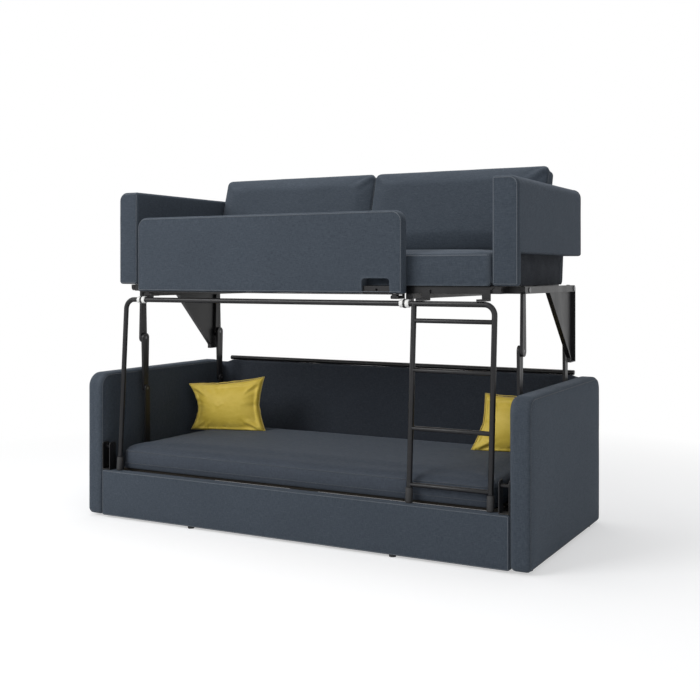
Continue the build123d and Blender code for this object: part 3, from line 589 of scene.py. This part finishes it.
def lower_arm(side, sign):
    """A lower arm's padded board, with a welt round its inner and its outer face."""
    node = f"{side}_lower_arm"
    arm, low_seam, high_seam = padded_board(
        node, "base", "X", radii=(0.026, 0.026, 0.062, 0.062), edge=0.020, puff=(0.002, 0.002),
        reach=0.08, step=mesh_step, material=cloth, folds=(0.0012, 0.11, 1 + sign))
    for label, seam in (("inner" if sign > 0 else "outer", low_seam),
                        ("outer" if sign > 0 else "inner", high_seam)):
        tube(f"{node}_{label}_welt", lay_on(seam, arm), lower_welt, welt_plain, "base", closed=True)


def front_rail():
    """The rail under the mattress, with a welt round its front."""
    corner = 0.009
    rail, low_seam, _ = padded_board(
        "front_rail", "base", "Y", radii=(corner,) * 4, edge=corner, puff=(0.0015, 0.001),
        reach=0.05, step=0.04, material=cloth, folds=(0.001, 0.13, 5))
    tube("front_rail_welt", lay_on(low_seam, rail), lower_welt, welt, "base", closed=True)


def lower_back_panel():
    """The panel behind the mattress, with lower wings behind the arms."""
    corner, wing_from, wing_top = 0.008, 0.932, 0.632
    taper_height, taper_share = 0.012, 0.3

    def lower_wings(point, top):
        if abs(point.x) > wing_from:
            point.z = min(point.z, wing_top - max(0.0, top - taper_height - point.z) * taper_share)

    # The panel's cloth is the darker copy of the upholstery: painted shade.
    panel, _, high_seam = padded_board(
        "lower_back_panel", "base", "Y", radii=(corner,) * 4, edge=corner, puff=(0.0012, 0.0012),
        reach=0.05, step=0.04, material=cloth_painted_shade, folds=(0.001, 0.2, 9), reshape=lower_wings)
    tube("lower_back_panel_welt", lay_on(high_seam, panel), lower_welt, welt_painted_shade, "base", closed=True)


def lower_mattress():
    """An even grid with a crowned top, swelled by the cloth solver between its seams."""
    low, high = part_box("lower_mattress")
    crown, corner, pin_height, seam_height = 0.012, 0.034, 0.022, 0.024
    puff_up, puff_out, puff_front, welt_room = 0.002, 0.003, 0.004, 0.004
    edge_top = high[2] - crown
    middle = [(low[i] + high[i]) / 2 for i in range(3)]
    mattress = grid_box("lower_mattress_cover", low, (high[0], high[1], edge_top), corner, step=0.016,
                        material=cloth_mattress)
    for vertex in mattress.data.vertices:
        # The lower edge is squarer than the upper one.
        turn_in = 0.75 * max(0.0, 1 - (vertex.co.z - low[2]) / corner)
        for axis in (0, 1):
            outer = high[axis] if vertex.co[axis] > middle[axis] else low[axis]
            if abs(vertex.co[axis] - outer) < corner:
                vertex.co[axis] += (outer - vertex.co[axis]) * turn_in
        share = max(0.0, (vertex.co.z - low[2]) / (edge_top - low[2]))
        across = 1 - (2 * vertex.co.x / (high[0] - low[0])) ** 8
        deep = 1 - ((vertex.co.y - middle[1]) / (high[1] - low[1]) * 2) ** 2
        vertex.co.z += crown * share ** 3 * max(0.0, across) * max(0.0, deep) ** 0.6
    mattress.data.update()

    def pinned(co):
        underside, side_depth, seam_width = 0.004, 0.01, 0.007
        at_side = any(co[i] < low[i] + side_depth or co[i] > high[i] - side_depth for i in (0, 1))
        from_seam = min(abs(co.z - (low[2] + pin_height)), abs(co.z - (edge_top - pin_height)))
        return 1.0 if co.z < low[2] + underside or at_side and from_seam < seam_width else 0.0

    swell(mattress, pinned, pressure=2.0, frames=12, cap=0.006)
    for vertex in mattress.data.vertices:
        vertex.co.z = min(vertex.co.z, high[2] + puff_up)
        vertex.co.x = held(vertex.co.x, low[0] - puff_out, high[0] + puff_out)
        vertex.co.y = held(vertex.co.y, low[1] - puff_front, high[1] + puff_out)
    ruffle(mattress, depth=0.0018, size=0.16, seed=12, stretch=(0.6, 1.4, 1))
    finish_soft(mattress, "base", "lower_mattress")
    outline = rounded_loop(low[0] - welt_room, high[0] + welt_room, low[1] - welt_room, high[1] + welt_room,
                           (corner,) * 4, inset=0, step=0.03)
    for label, z in (("low", low[2] + seam_height), ("high", edge_top - seam_height)):
        path = lay_on([Vector((a, b, z)) for a, b in outline], mattress, lift=0.0006)
        tube(f"mattress_{label}_welt", path, mattress_welt, welt_plain, "base", closed=True)


for side, sign in both_sides:
    lower_arm(side, sign)
front_rail()
lower_back_panel()
lower_mattress()

# Pillows
pillow_wide, pillow_thick, pillow_tall = 0.400, 0.128, 0.262
pillow_turn = math.radians(13)
pillow_lean = 0.026


def flat_case(name, step, material):
    """Two layers of cloth sewn along their edges, with a little filling. Returns it with its rim."""
    across, up = round(pillow_wide / step), round(pillow_tall / step)
    thinnest, filling = 0.004, 0.03
    points, faces, known = [], [], {}
    for layer in (-1, 1):
        for j in range(up + 1):
            for i in range(across + 1):
                on_edge = i in (0, across) or j in (0, up)
                key = (i, j, 0 if on_edge else layer)
                if key in known:
                    continue
                known[key] = len(points)
                u, v = 2 * i / across - 1, 2 * j / up - 1
                y = 0 if on_edge else layer * (thinnest + filling * ((1 - u * u) * (1 - v * v)))
                points.append(Vector((u * pillow_wide / 2, y, v * pillow_tall / 2)))
    for layer in (-1, 1):
        for j in range(up):
            for i in range(across):
                quad = []
                for di, dj in ((0, 0), (1, 0), (1, 1), (0, 1)):
                    a, b = i + di, j + dj
                    on_edge = a in (0, across) or b in (0, up)
                    quad.append(known[(a, b, 0 if on_edge else layer)])
                faces.append(tuple(quad))
    rim = [known[(i, 0, 0)] for i in range(across)] + [known[(across, j, 0)] for j in range(up)]
    rim += [known[(i, up, 0)] for i in range(across, 0, -1)] + [known[(0, j, 0)] for j in range(up, 0, -1)]
    return make_object(name, points, faces, material), rim


def pillow_shape():
    """One pillow, blown up from its flat case, in its own frame: X across, Y through, Z up."""
    case, rim = flat_case("pillow_case", step=0.0075, material=pillow_cloth)

    def shares(co):
        return 2 * co.x / pillow_wide, 2 * co.z / pillow_tall

    # The filling draws the sides in between the corners, the upper side most.
    side_draw, top_draw, bottom_draw, half_thick = 0.115, 0.135, 0.04, 0.060
    for vertex in case.data.vertices:
        u, v = shares(vertex.co)
        thick = half_thick * (max(0.0, 1 - u * u) * max(0.0, 1 - v * v)) ** 0.42
        vertex.co.y = math.copysign(thick, vertex.co.y) if vertex.co.y else 0
        vertex.co.x *= 1 - side_draw * (1 - abs(v) ** 1.6)
        vertex.co.z *= 1 - (top_draw if v > 0 else bottom_draw) * (1 - abs(u) ** 1.5)
    swell(case, lambda co: 0.0, pressure=3.5, frames=14, cap=0.016, stiffness=26.0, mass=0.25)

    def crease(co):
        """Creases run in from the seams, and die out over the filled middle."""
        depth, density, drift, end, growth, seam, seam_fade = 0.0075, 5.5, 9, 0.45, 0.35, 0.99, 0.12
        u, v = shares(co)
        out = max(abs(u), abs(v))
        fade = held((out - end) / growth, 0.0, 1.0) * held((seam - out) / seam_fade, 0.0, 1.0)
        angle = math.atan2(v, u)
        fold = Vector((math.cos(angle) * density, math.sin(angle) * density, 3 + co.y * drift))
        return depth * fade * noise.noise(fold)

    push(case, crease)
    return case, rim


def slumped(co, side):
    """A place on a pillow after it has sunk and tipped, and how high on the pillow it was."""
    half = pillow_wide / 2
    middle_lift, ear_from, flat_height, flat_share, waist_draw = 0.006, 0.17, 0.02, 0.55, 0.07
    # The ears of the lower corners lie on the mattress, and the weight flattens the bottom.
    flat_below = middle_lift * (1 - min(1.0, abs(co.x) / ear_from)) + flat_height
    if co.z < flat_below:
        co.z = flat_below - (flat_below - co.z) * flat_share
    share = co.z / pillow_tall
    # The filling draws the short edges in between the ears.
    waist = 1 - min(1.0, abs(2 * share - 1)) ** 1.5
    co.x *= 1 - waist_draw * waist
    if side == "right":
        # Its upper ear on the ladder's side falls inward.
        fall = 0.060
        co.x += fall * max(0.0, share) ** 1.2 * max(0.0, -co.x / half)
    else:
        # It tips towards the arm, and that end is squeezed together and lower.
        height_share, height_slope, squeeze, tip = 0.975, 0.085, 0.022, 0.024
        co.z *= height_share + height_slope * co.x / half
        co.x += squeeze * waist * max(0.0, -co.x / half) ** 2 - tip * share
    return co, share


def lay_pillow(case, rim, side, spot):
    """A copy of the pillow that stands at spot, turned and leaning back. The right one is mirrored."""
    x, y, floor_z = spot
    push_from, push_share, rest_gap = 0.86, 0.78, 0.0004
    pillow = case.copy()
    pillow.data = case.data.copy()
    pillow.name = f"{side}_pillow_cover"
    scene.collection.objects.link(pillow)
    mirror = -1 if side == "right" else 1
    reach = [max(abs(v.co[i]) for v in case.data.vertices) for i in range(3)]
    fit = Vector((pillow_wide / 2 / reach[0], pillow_thick / 2 / reach[1], pillow_tall / 2 / reach[2]))
    turned = Matrix.Rotation(pillow_turn, 3, "Z")
    for vertex in pillow.data.vertices:
        fitted = Vector((vertex.co.x * fit.x * mirror, vertex.co.y * fit.y,
                         vertex.co.z * fit.z + pillow_tall / 2))
        co, share = slumped(fitted, side)
        vertex.co = turned @ co + Vector((x, y + pillow_lean * share, floor_z))
        # The far end is pushed in, so that the side bracket passes it on its way down.
        vertex.co.x = min(vertex.co.x, push_from + (vertex.co.x - push_from) * push_share)
    lowest = min(v.co.z for v in pillow.data.vertices)
    for vertex in pillow.data.vertices:
        vertex.co.z += floor_z + rest_gap - lowest
    if mirror < 0:
        face_outward(pillow)
    cord = tube(f"{side}_pillow_seam", [pillow.data.vertices[i].co.copy() for i in rim], bold_welt,
                pillow_seam, "base", closed=True)
    subdivision = pillow.modifiers.new("smooth", "SUBSURF")
    subdivision.levels = subdivision.render_levels = 1
    finish_soft(pillow, "base", f"{side}_pillow")
    # In the real bed the descending sofa presses the pillow flat; here each piece gets a mesh of its own.
    for piece in (pillow, cord):
        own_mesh(piece)


case, case_rim = pillow_shape()
lay_pillow(case, case_rim, "left", (-0.705, setback(0.618), 0.3296))
lay_pillow(case, case_rim, "right", (0.762, setback(0.668), 0.3300))
bpy.data.objects.remove(case)

# Upper sofa
seat_floor = 1.0533
seat_top = seat_floor + 0.131
seat_half = 0.8565
seat_front = setback(0.118)
seat_crown = 0.016


def upper_arm(side, sign):
    """A padded board along Y, with a front leg that drops past the seat base."""
    node = f"{side}_upper_arm"
    low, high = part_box(node)
    edge, small, large = 0.013, 0.013, 0.038
    radii = (small, small, large, small) if sign > 0 else (small, small, small, large)
    cap_rings, edge_rings, long_rings = 4, 4, 22
    arm_floor, leg_rear, leg_corner, step_depth = 1.180, setback(0.142), 0.002, 0.004
    kept_height, crease, deepest_share, ring_power = 0.06, 0.0002, 0.97, 1.2
    loops = []

    def ring(inset, y, bottom):
        """A loop of the arm's section. Its top keeps its shape, and the rest reaches to bottom."""
        begin, kept_from = low[2] + inset, high[2] - inset - kept_height
        loop = []
        for a, b in rounded_loop(low[0], high[0], low[2], high[2], radii, inset, mesh_step, 6):
            if b < kept_from:
                share = (b - begin) / (kept_from - begin)
                b = bottom + inset + (kept_from - bottom - inset) * share
            loop.append(Vector((a, y, b)))
        loops.append(loop)

    def puff(inset):
        most, reach = 0.001, 0.03
        return most * min(1, (inset - edge) / reach)

    deepest = (high[0] - low[0]) / 2 * deepest_share
    cap = [edge + (deepest - edge) * (k / cap_rings) ** ring_power for k in range(1, cap_rings + 1)]
    for inset in reversed(cap):
        ring(inset, low[1] - puff(inset), low[2])
    for inset, depth in rounded_edge(edge, edge_rings):
        ring(inset, low[1] + depth, low[2])
    ring(0, leg_rear - leg_corner, low[2])
    ring(0, leg_rear - crease, low[2] + leg_corner)
    ring(0, leg_rear, arm_floor)
    ring(0, leg_rear + step_depth, arm_floor)
    for k in range(1, long_rings):
        ring(0, leg_rear + step_depth + (high[1] - edge - leg_rear - step_depth) * k / long_rings, arm_floor)
    for inset, depth in reversed(rounded_edge(edge, edge_rings)):
        ring(inset, high[1] - depth, arm_floor)
    for inset in cap:
        ring(inset, high[1] + puff(inset), arm_floor)
    arm = skin(f"{node}_cover", loops, cloth)
    arm.data.set_sharp_from_angle(angle=math.radians(60))
    ruffle(arm, depth=0.0012, size=0.10, seed=20 + sign)
    finish_soft(arm, "deck", node)
    front_seam, rear_seam = loops[cap_rings + 1], loops[-cap_rings - edge_rings]
    tube(f"{node}_front_welt", lay_on(front_seam, arm), upper_welt, welt, "deck", closed=True)
    # The rear welt is near black: painted shade along the arm's rear edge.
    tube(f"{node}_rear_welt", lay_on(rear_seam, arm), rear_welt, welt_painted_shade, "deck", closed=True)


def back_board():
    """The board behind the back cushions, with a welt round its rear face."""
    board, _, high_seam = padded_board(
        "back_board", "deck", "Y", radii=(0.010, 0.010, 0.014, 0.014), edge=0.012, puff=(0.0, 0.002),
        reach=0.06, step=mesh_step, material=cloth, folds=(0.0012, 0.14, 31))
    tube("back_board_welt", lay_on(high_seam, board), upper_welt, welt, "deck", closed=True)


def seat_base_welt(side, sign):
    """An upright seam that closes the cloth on an end of the seat base; its pale colour is a painted
    highlight.
    """
    x, y_setback, lean, foot, rise, steps = sign * 0.9004, 0.853, 0.015, 1.060, 0.117, 12
    path = [Vector((x, setback(y_setback + lean * k / steps), foot + rise * k / steps))
            for k in range(steps + 1)]
    tube(f"{side}_seat_base_welt", path, bold_welt, welt, "deck")


def seat_profile(inset, crown):
    """The seat cushion's outline in Y and Z: a crowned top, and a front that drops past the base."""
    corner, front_rows, corner_rows, top_rows = 0.020, 13, 6, 26
    depth, drop_depth, cushion_floor, floor_row = 0.740, 0.024, 1.1176, 0.25
    front, rear, top = seat_front + inset, seat_front + depth, seat_top - inset
    drop_rear = seat_front + drop_depth

    def rounded_corner(y, begin, first):
        angles = [math.radians(begin - 90 * n / corner_rows) for n in range(first, corner_rows + 1)]
        return [(y + corner * math.cos(a), top - corner + corner * math.sin(a)) for a in angles]

    profile = [(front, seat_floor + inset + (top - corner - seat_floor - inset) * n / front_rows)
               for n in range(front_rows + 1)]
    profile += rounded_corner(front + corner, 180, 1)
    for n in range(1, top_rows):
        share = n / top_rows
        bulge = 1 - (2 * share - 1) ** 2
        profile.append((front + corner + (rear - corner - front - corner) * share,
                        top + crown * bulge ** 0.6))
    profile += rounded_corner(rear - corner, 90, 0)
    return profile + [(rear - inset, cushion_floor + inset), (drop_rear + floor_row, cushion_floor + inset),
                      (drop_rear + inset, cushion_floor + inset),
                      (drop_rear - inset, (cushion_floor + seat_floor) / 2),
                      (drop_rear - inset, seat_floor + inset)]


def seat_cushion():
    """The seat cushion, skinned through its outline at many places across it."""
    spans, end_radius, level_share, dip, dip_width = 74, 0.014, 0.2, 0.12, 0.02
    loops = []
    for k in range(spans + 1):
        share = k / spans * 2 - 1
        x = seat_half * math.copysign(1 - (1 - abs(share)) ** 1.15, share)
        away = seat_half - abs(x)
        inset = 0.0
        if away < end_radius:
            inset = end_radius - math.sqrt(max(0.0, end_radius ** 2 - (end_radius - away) ** 2))
        crown = seat_crown * (1 - (abs(x) / seat_half) ** 7) * (1 - level_share) + seat_crown * level_share
        # The middle is a little lower.
        crown *= 1 - dip * math.exp(-((x / dip_width) ** 2))
        loops.append([Vector((x, y, z)) for y, z in seat_profile(inset, crown)])
    seat = skin("seat_cushion_cover", loops, cloth)

    def pinned(co):
        underside, rear_edge, ends = 1.150, setback(0.85), 0.85
        return 1.0 if co.z < underside or co.y > rear_edge or abs(co.x) > ends else 0.0

    swell(seat, pinned, pressure=1.4, frames=10, cap=0.004)
    highest, foremost = seat_top + 0.018, setback(0.1165)
    for vertex in seat.data.vertices:
        vertex.co.z = min(vertex.co.z, highest)
        vertex.co.y = max(vertex.co.y, foremost)
    ruffle(seat, depth=0.0014, size=0.12, seed=33)
    seat.data.set_sharp_from_angle(angle=math.radians(70))
    finish_soft(seat, "deck", "seat_cushion")
    seam_from, seam_length, seam_depth, steps = -0.852, 1.704, 0.010, 80
    seam = [Vector((seam_from + seam_length * k / steps, seat_front, seat_top - seam_depth))
            for k in range(steps + 1)]
    tube("seat_front_welt", lay_on(seam, seat, lift=0.0003), cushion_welt, welt, "deck")


def back_cushion(side, sign):
    """A cushion that leans back on the board. Its own frame has X across, Y through, Z up the lean."""
    inner_x, height, thick, crown, corner = 0.001, 0.391, 0.100, 0.017, 0.026
    foot_setback, settle, gap, tilt = 0.7127, 0.0182, 0.0003, math.radians(17)
    front_seam_y, rear_seam_y, draw_in = -0.080, -0.020, 0.004
    side_gap, puff_out, puff_up = 0.0002, 0.006, 0.003
    x0, x1 = (inner_x, seat_half) if sign > 0 else (-seat_half, -inner_x)
    rise = height / 2
    cushion = grid_box(f"{side}_back_cushion_cover", (x0, -thick, -rise), (x1, 0.0, rise), corner,
                       step=0.013, material=cloth)
    middle_x, half = (x0 + x1) / 2, (x1 - x0) / 2
    for vertex in cushion.data.vertices:
        u, v = (vertex.co.x - middle_x) / half, vertex.co.z / rise
        share = max(0.0, -vertex.co.y / thick)
        bulge = max(0.0, 1 - abs(u) ** 5) * max(0.0, 1 - v ** 4)
        vertex.co.y -= crown * share ** 2 * bulge ** 0.7
        if abs(v) > 0.9:
            vertex.co.z -= math.copysign(draw_in * math.sin(math.pi * min(1.0, share)), v)
    cushion.data.update()

    def pinned(co):
        # The back stays flat, and so do the bands round the sides that the seams lie on.
        side_depth, end_depth, back_depth, rear_band, front_band = 0.008, 0.010, 0.004, 0.03, (0.076, 0.088)
        at_side = abs(co.x - middle_x) > half - side_depth or abs(co.z) > rise - end_depth
        at_seam = front_band[0] < -co.y < front_band[1] or -co.y < rear_band
        return 1.0 if -co.y < back_depth or at_side and at_seam else 0.0

    swell(cushion, pinned, pressure=2.6, frames=14, cap=0.009)
    for vertex in cushion.data.vertices:
        vertex.co.x = held(vertex.co.x, x0 + side_gap, x1 - side_gap)
        vertex.co.y = held(vertex.co.y, -thick - crown - puff_out, 0.0)
        vertex.co.z = held(vertex.co.z, -rise, rise + puff_up)
    ruffle(cushion, depth=0.0018, size=0.10, seed=40 + sign, stretch=(1.2, 1, 0.7))
    outline = rounded_loop(x0, x1, -rise, rise, (corner,) * 4, inset=0, step=0.025)
    front_seam, rear_seam = (lay_on([Vector((a, y, b)) for a, b in outline], cushion, lift=0.0004)
                             for y in (front_seam_y, rear_seam_y))
    foot = seat_top + seat_crown - settle + gap
    origin = Vector((0, setback(foot_setback) + thick * math.cos(tilt) + rise * math.sin(tilt),
                     foot + rise * math.cos(tilt)))
    lean = Matrix.Translation(origin) @ Matrix.Rotation(-tilt, 4, "X")
    cushion.data.transform(lean)
    finish_soft(cushion, "deck", f"{side}_back_cushion")
    for name, seam, material in (("welt", front_seam, welt), ("rear_welt", rear_seam, welt_painted_shade)):
        tube(f"{side}_back_cushion_{name}", [lean @ p for p in seam], cushion_welt, material, "deck",
             closed=True)


for side, sign in both_sides:
    upper_arm(side, sign)
back_board()
for side, sign in both_sides:
    seat_base_welt(side, sign)
seat_cushion()
for side, sign in both_sides:
    back_cushion(side, sign)

# Guard


def cut_hand_hole(guard, low, high):
    """Cuts the hand hole, which is open at the guard's lower edge."""
    x0, x1, z0, z1, corner, beyond = 0.325, 0.449, 0.95, 1.083, 0.014, 0.02
    outline = rounded_loop(x0, x1, z0, z1, (corner,) * 4, inset=0, step=0.02)
    loops = [[Vector((a, y, b)) for a, b in outline] for y in (low[1] - beyond, high[1] + beyond)]
    cutter = skin("hand_hole_cutter", loops, cloth)
    boolean = guard.modifiers.new("hand_hole", "BOOLEAN")
    boolean.object = cutter
    boolean.solver = "EXACT"
    evaluated = guard.evaluated_get(bpy.context.evaluated_depsgraph_get())
    shape = bpy.data.meshes.new_from_object(evaluated)
    guard.modifiers.clear()
    guard.data = shape
    guard.data.set_sharp_from_angle(angle=math.radians(40))
    bpy.data.objects.remove(cutter)


def guard_panel():
    """The guard's padded board, with a welt round its front."""
    low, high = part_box("guard_panel")
    loops, front_seam, _ = slab_loops("Y", low, high, radii=(0.006, 0.006, 0.045, 0.045), edge=0.012,
                                      puff=(0.0015, 0.0015), reach=0.05, step=0.025)
    guard = skin("guard_cover", loops, cloth)
    ruffle(guard, depth=0.001, size=0.12, seed=50)
    cut_hand_hole(guard, low, high)
    finish_soft(guard, "guard", "guard_panel")
    # The welt begins and ends at the hand hole.
    gap_from, gap_to, near_edge = 0.318, 0.452, 0.006
    side_of_hole = Vector((0.455, low[1], low[2]))
    begin = min(range(len(front_seam)), key=lambda i: (front_seam[i] - side_of_hole).length)
    path = [p for p in front_seam[begin:] + front_seam[:begin]
            if not (p.z < low[2] + near_edge and gap_from < p.x < gap_to)]
    tube("guard_front_welt", lay_on(path, guard), upper_welt, welt, "guard")


guard_panel()

# Steel, wood and plastic of the frame


def dress(names, material, width=0.0006):
    """Gives CAD nodes a material, and breaks their sharp edges so that they catch the light."""
    for name in names:
        obj = nodes[name]
        for slot in obj.material_slots:
            slot.material = material
        weld = obj.modifiers.new("weld", "WELD")
        weld.merge_threshold = same_place
        bevel = obj.modifiers.new("bevel", "BEVEL")
        bevel.width = width
        bevel.segments = 2
        bevel.limit_method = "ANGLE"
        bevel.angle_limit = math.radians(35)


legs = [n for n in nodes if n.endswith(("_lower_link", "_upper_link"))]
knee_pins = [n for n in nodes if n.endswith("knee_pin")]
dress(["frame_tube", "inner_stringer", "rungs", "back_tube", "hangers", "runners", "front_strip",
       "catch_plates", "hinge_ears", "guard_lugs", "guard_strip", "handhole_plate"], black_steel)
dress(legs + ["left_base_posts", "right_base_posts", "end_brackets", "end_bracket_bolts", "base_frame",
              "deck_frame", "left_side_bracket", "right_side_bracket"], black_steel)
dress(["gusset_webs"], grey_steel)
dress(knee_pins + ["base_pivot_pins", "deck_pivot_pins", "hinge_pins"], zinc, width=0.0004)
dress(["bushes"], nylon, width=0.001)
dress(["foot_shoes", "feet"], rubber, width=0.001)
dress(["deck_slats"], wood, width=0.002)
dress(["base_slats"], stained_wood, width=0.002)
# The seat base wears the near-black copy of the cloth: painted deep shade in the recess.
dress(["seat_base"], cloth_painted_deep_shade, width=0.004)

# Floor and light


def joined(tree, kind, sources=(), **values):
    """A new node's output. Its first inputs are joined to sources, and others are set by name."""
    node = fill(tree.nodes.new(kind), **values)
    for source, socket in zip(sources, node.inputs):
        tree.links.new(source, socket)
    return node.outputs[0]


def seen_rays(tree):
    """1 for rays from the camera, from mirrors and through glass, and 0 for other light."""
    paths = tree.nodes.new("ShaderNodeLightPath").outputs
    seen = paths["Is Camera Ray"]
    for name in ("Is Glossy Ray", "Is Transmission Ray"):
        seen = joined(tree, "ShaderNodeMath", (seen, paths[name]))
        seen.node.operation = "MAXIMUM"
    return seen


def floor_material():
    """Pale floor: it takes the object's shadow, and turns to plain white away from it."""
    m = Nodes("floor")
    tree = m.tree
    seen = seen_rays(tree)
    distance = m.add("ShaderNodeVectorMath", operation="LENGTH")
    m.join(m.coords, distance.inputs[0])
    white_from, white_at = 1.5, 3.2
    away = m.spread(distance.outputs["Value"], white_from, white_at)
    lit = joined(tree, "ShaderNodeBsdfDiffuse", Color=(0.86, 0.86, 0.865, 1))
    pale = joined(tree, "ShaderNodeBsdfDiffuse", Color=(0.62, 0.62, 0.623, 1))
    glow = joined(tree, "ShaderNodeEmission", Strength=0.49)
    white = joined(tree, "ShaderNodeEmission", Strength=1.0)
    near = joined(tree, "ShaderNodeMixShader", (seen, lit, joined(tree, "ShaderNodeAddShader", (pale, glow))))
    surface = joined(tree, "ShaderNodeMixShader", (m.times(away, seen), near, white))
    m.join(surface, tree.nodes["Material Output"].inputs["Surface"])
    return m.material


def lay_floor():
    half = 30
    mesh = bpy.data.meshes.new("floor")
    mesh.from_pydata([(-half, -half, 0), (half, -half, 0), (half, half, 0), (-half, half, 0)], [],
                     [(0, 1, 2, 3)])
    floor = bpy.data.objects.new("floor", mesh)
    scene.collection.objects.link(floor)
    floor.data.materials.append(floor_material())


def light_room():
    """A world that gives a dim cool light, and is seen as plain white."""
    world = bpy.data.worlds.new("studio")
    scene.world = world
    world.use_nodes = True
    tree = world.node_tree
    tree.nodes.clear()
    ambient = joined(tree, "ShaderNodeBackground", Color=(0.95, 0.97, 1.0, 1), Strength=0.34)
    white = joined(tree, "ShaderNodeBackground", Color=(1, 1, 1, 1), Strength=1.0)
    mix = joined(tree, "ShaderNodeMixShader", (seen_rays(tree), ambient, white))
    tree.links.new(mix, tree.nodes.new("ShaderNodeOutputWorld").inputs["Surface"])


def soft_light(name, at, aim, size, power):
    data = bpy.data.lights.new(name, "AREA")
    data.shape = "RECTANGLE"
    data.size, data.size_y = size
    data.energy = power
    obj = bpy.data.objects.new(name, data)
    obj.location = at
    obj.rotation_euler = (Vector(aim) - Vector(at)).to_track_quat("-Z", "Y").to_euler()
    scene.collection.objects.link(obj)


lay_floor()
light_room()
soft_light("key", at=(-2.6, -4.6, 3.4), aim=(0, 0, 0.8), size=(3.2, 2.6), power=200)
soft_light("fill", at=(3.6, -3.4, 2.0), aim=(0, 0, 0.8), size=(2.4, 2.4), power=26)
soft_light("top", at=(-0.4, 0.4, 4.6), aim=(0, 0, 0.6), size=(3.0, 2.2), power=70)
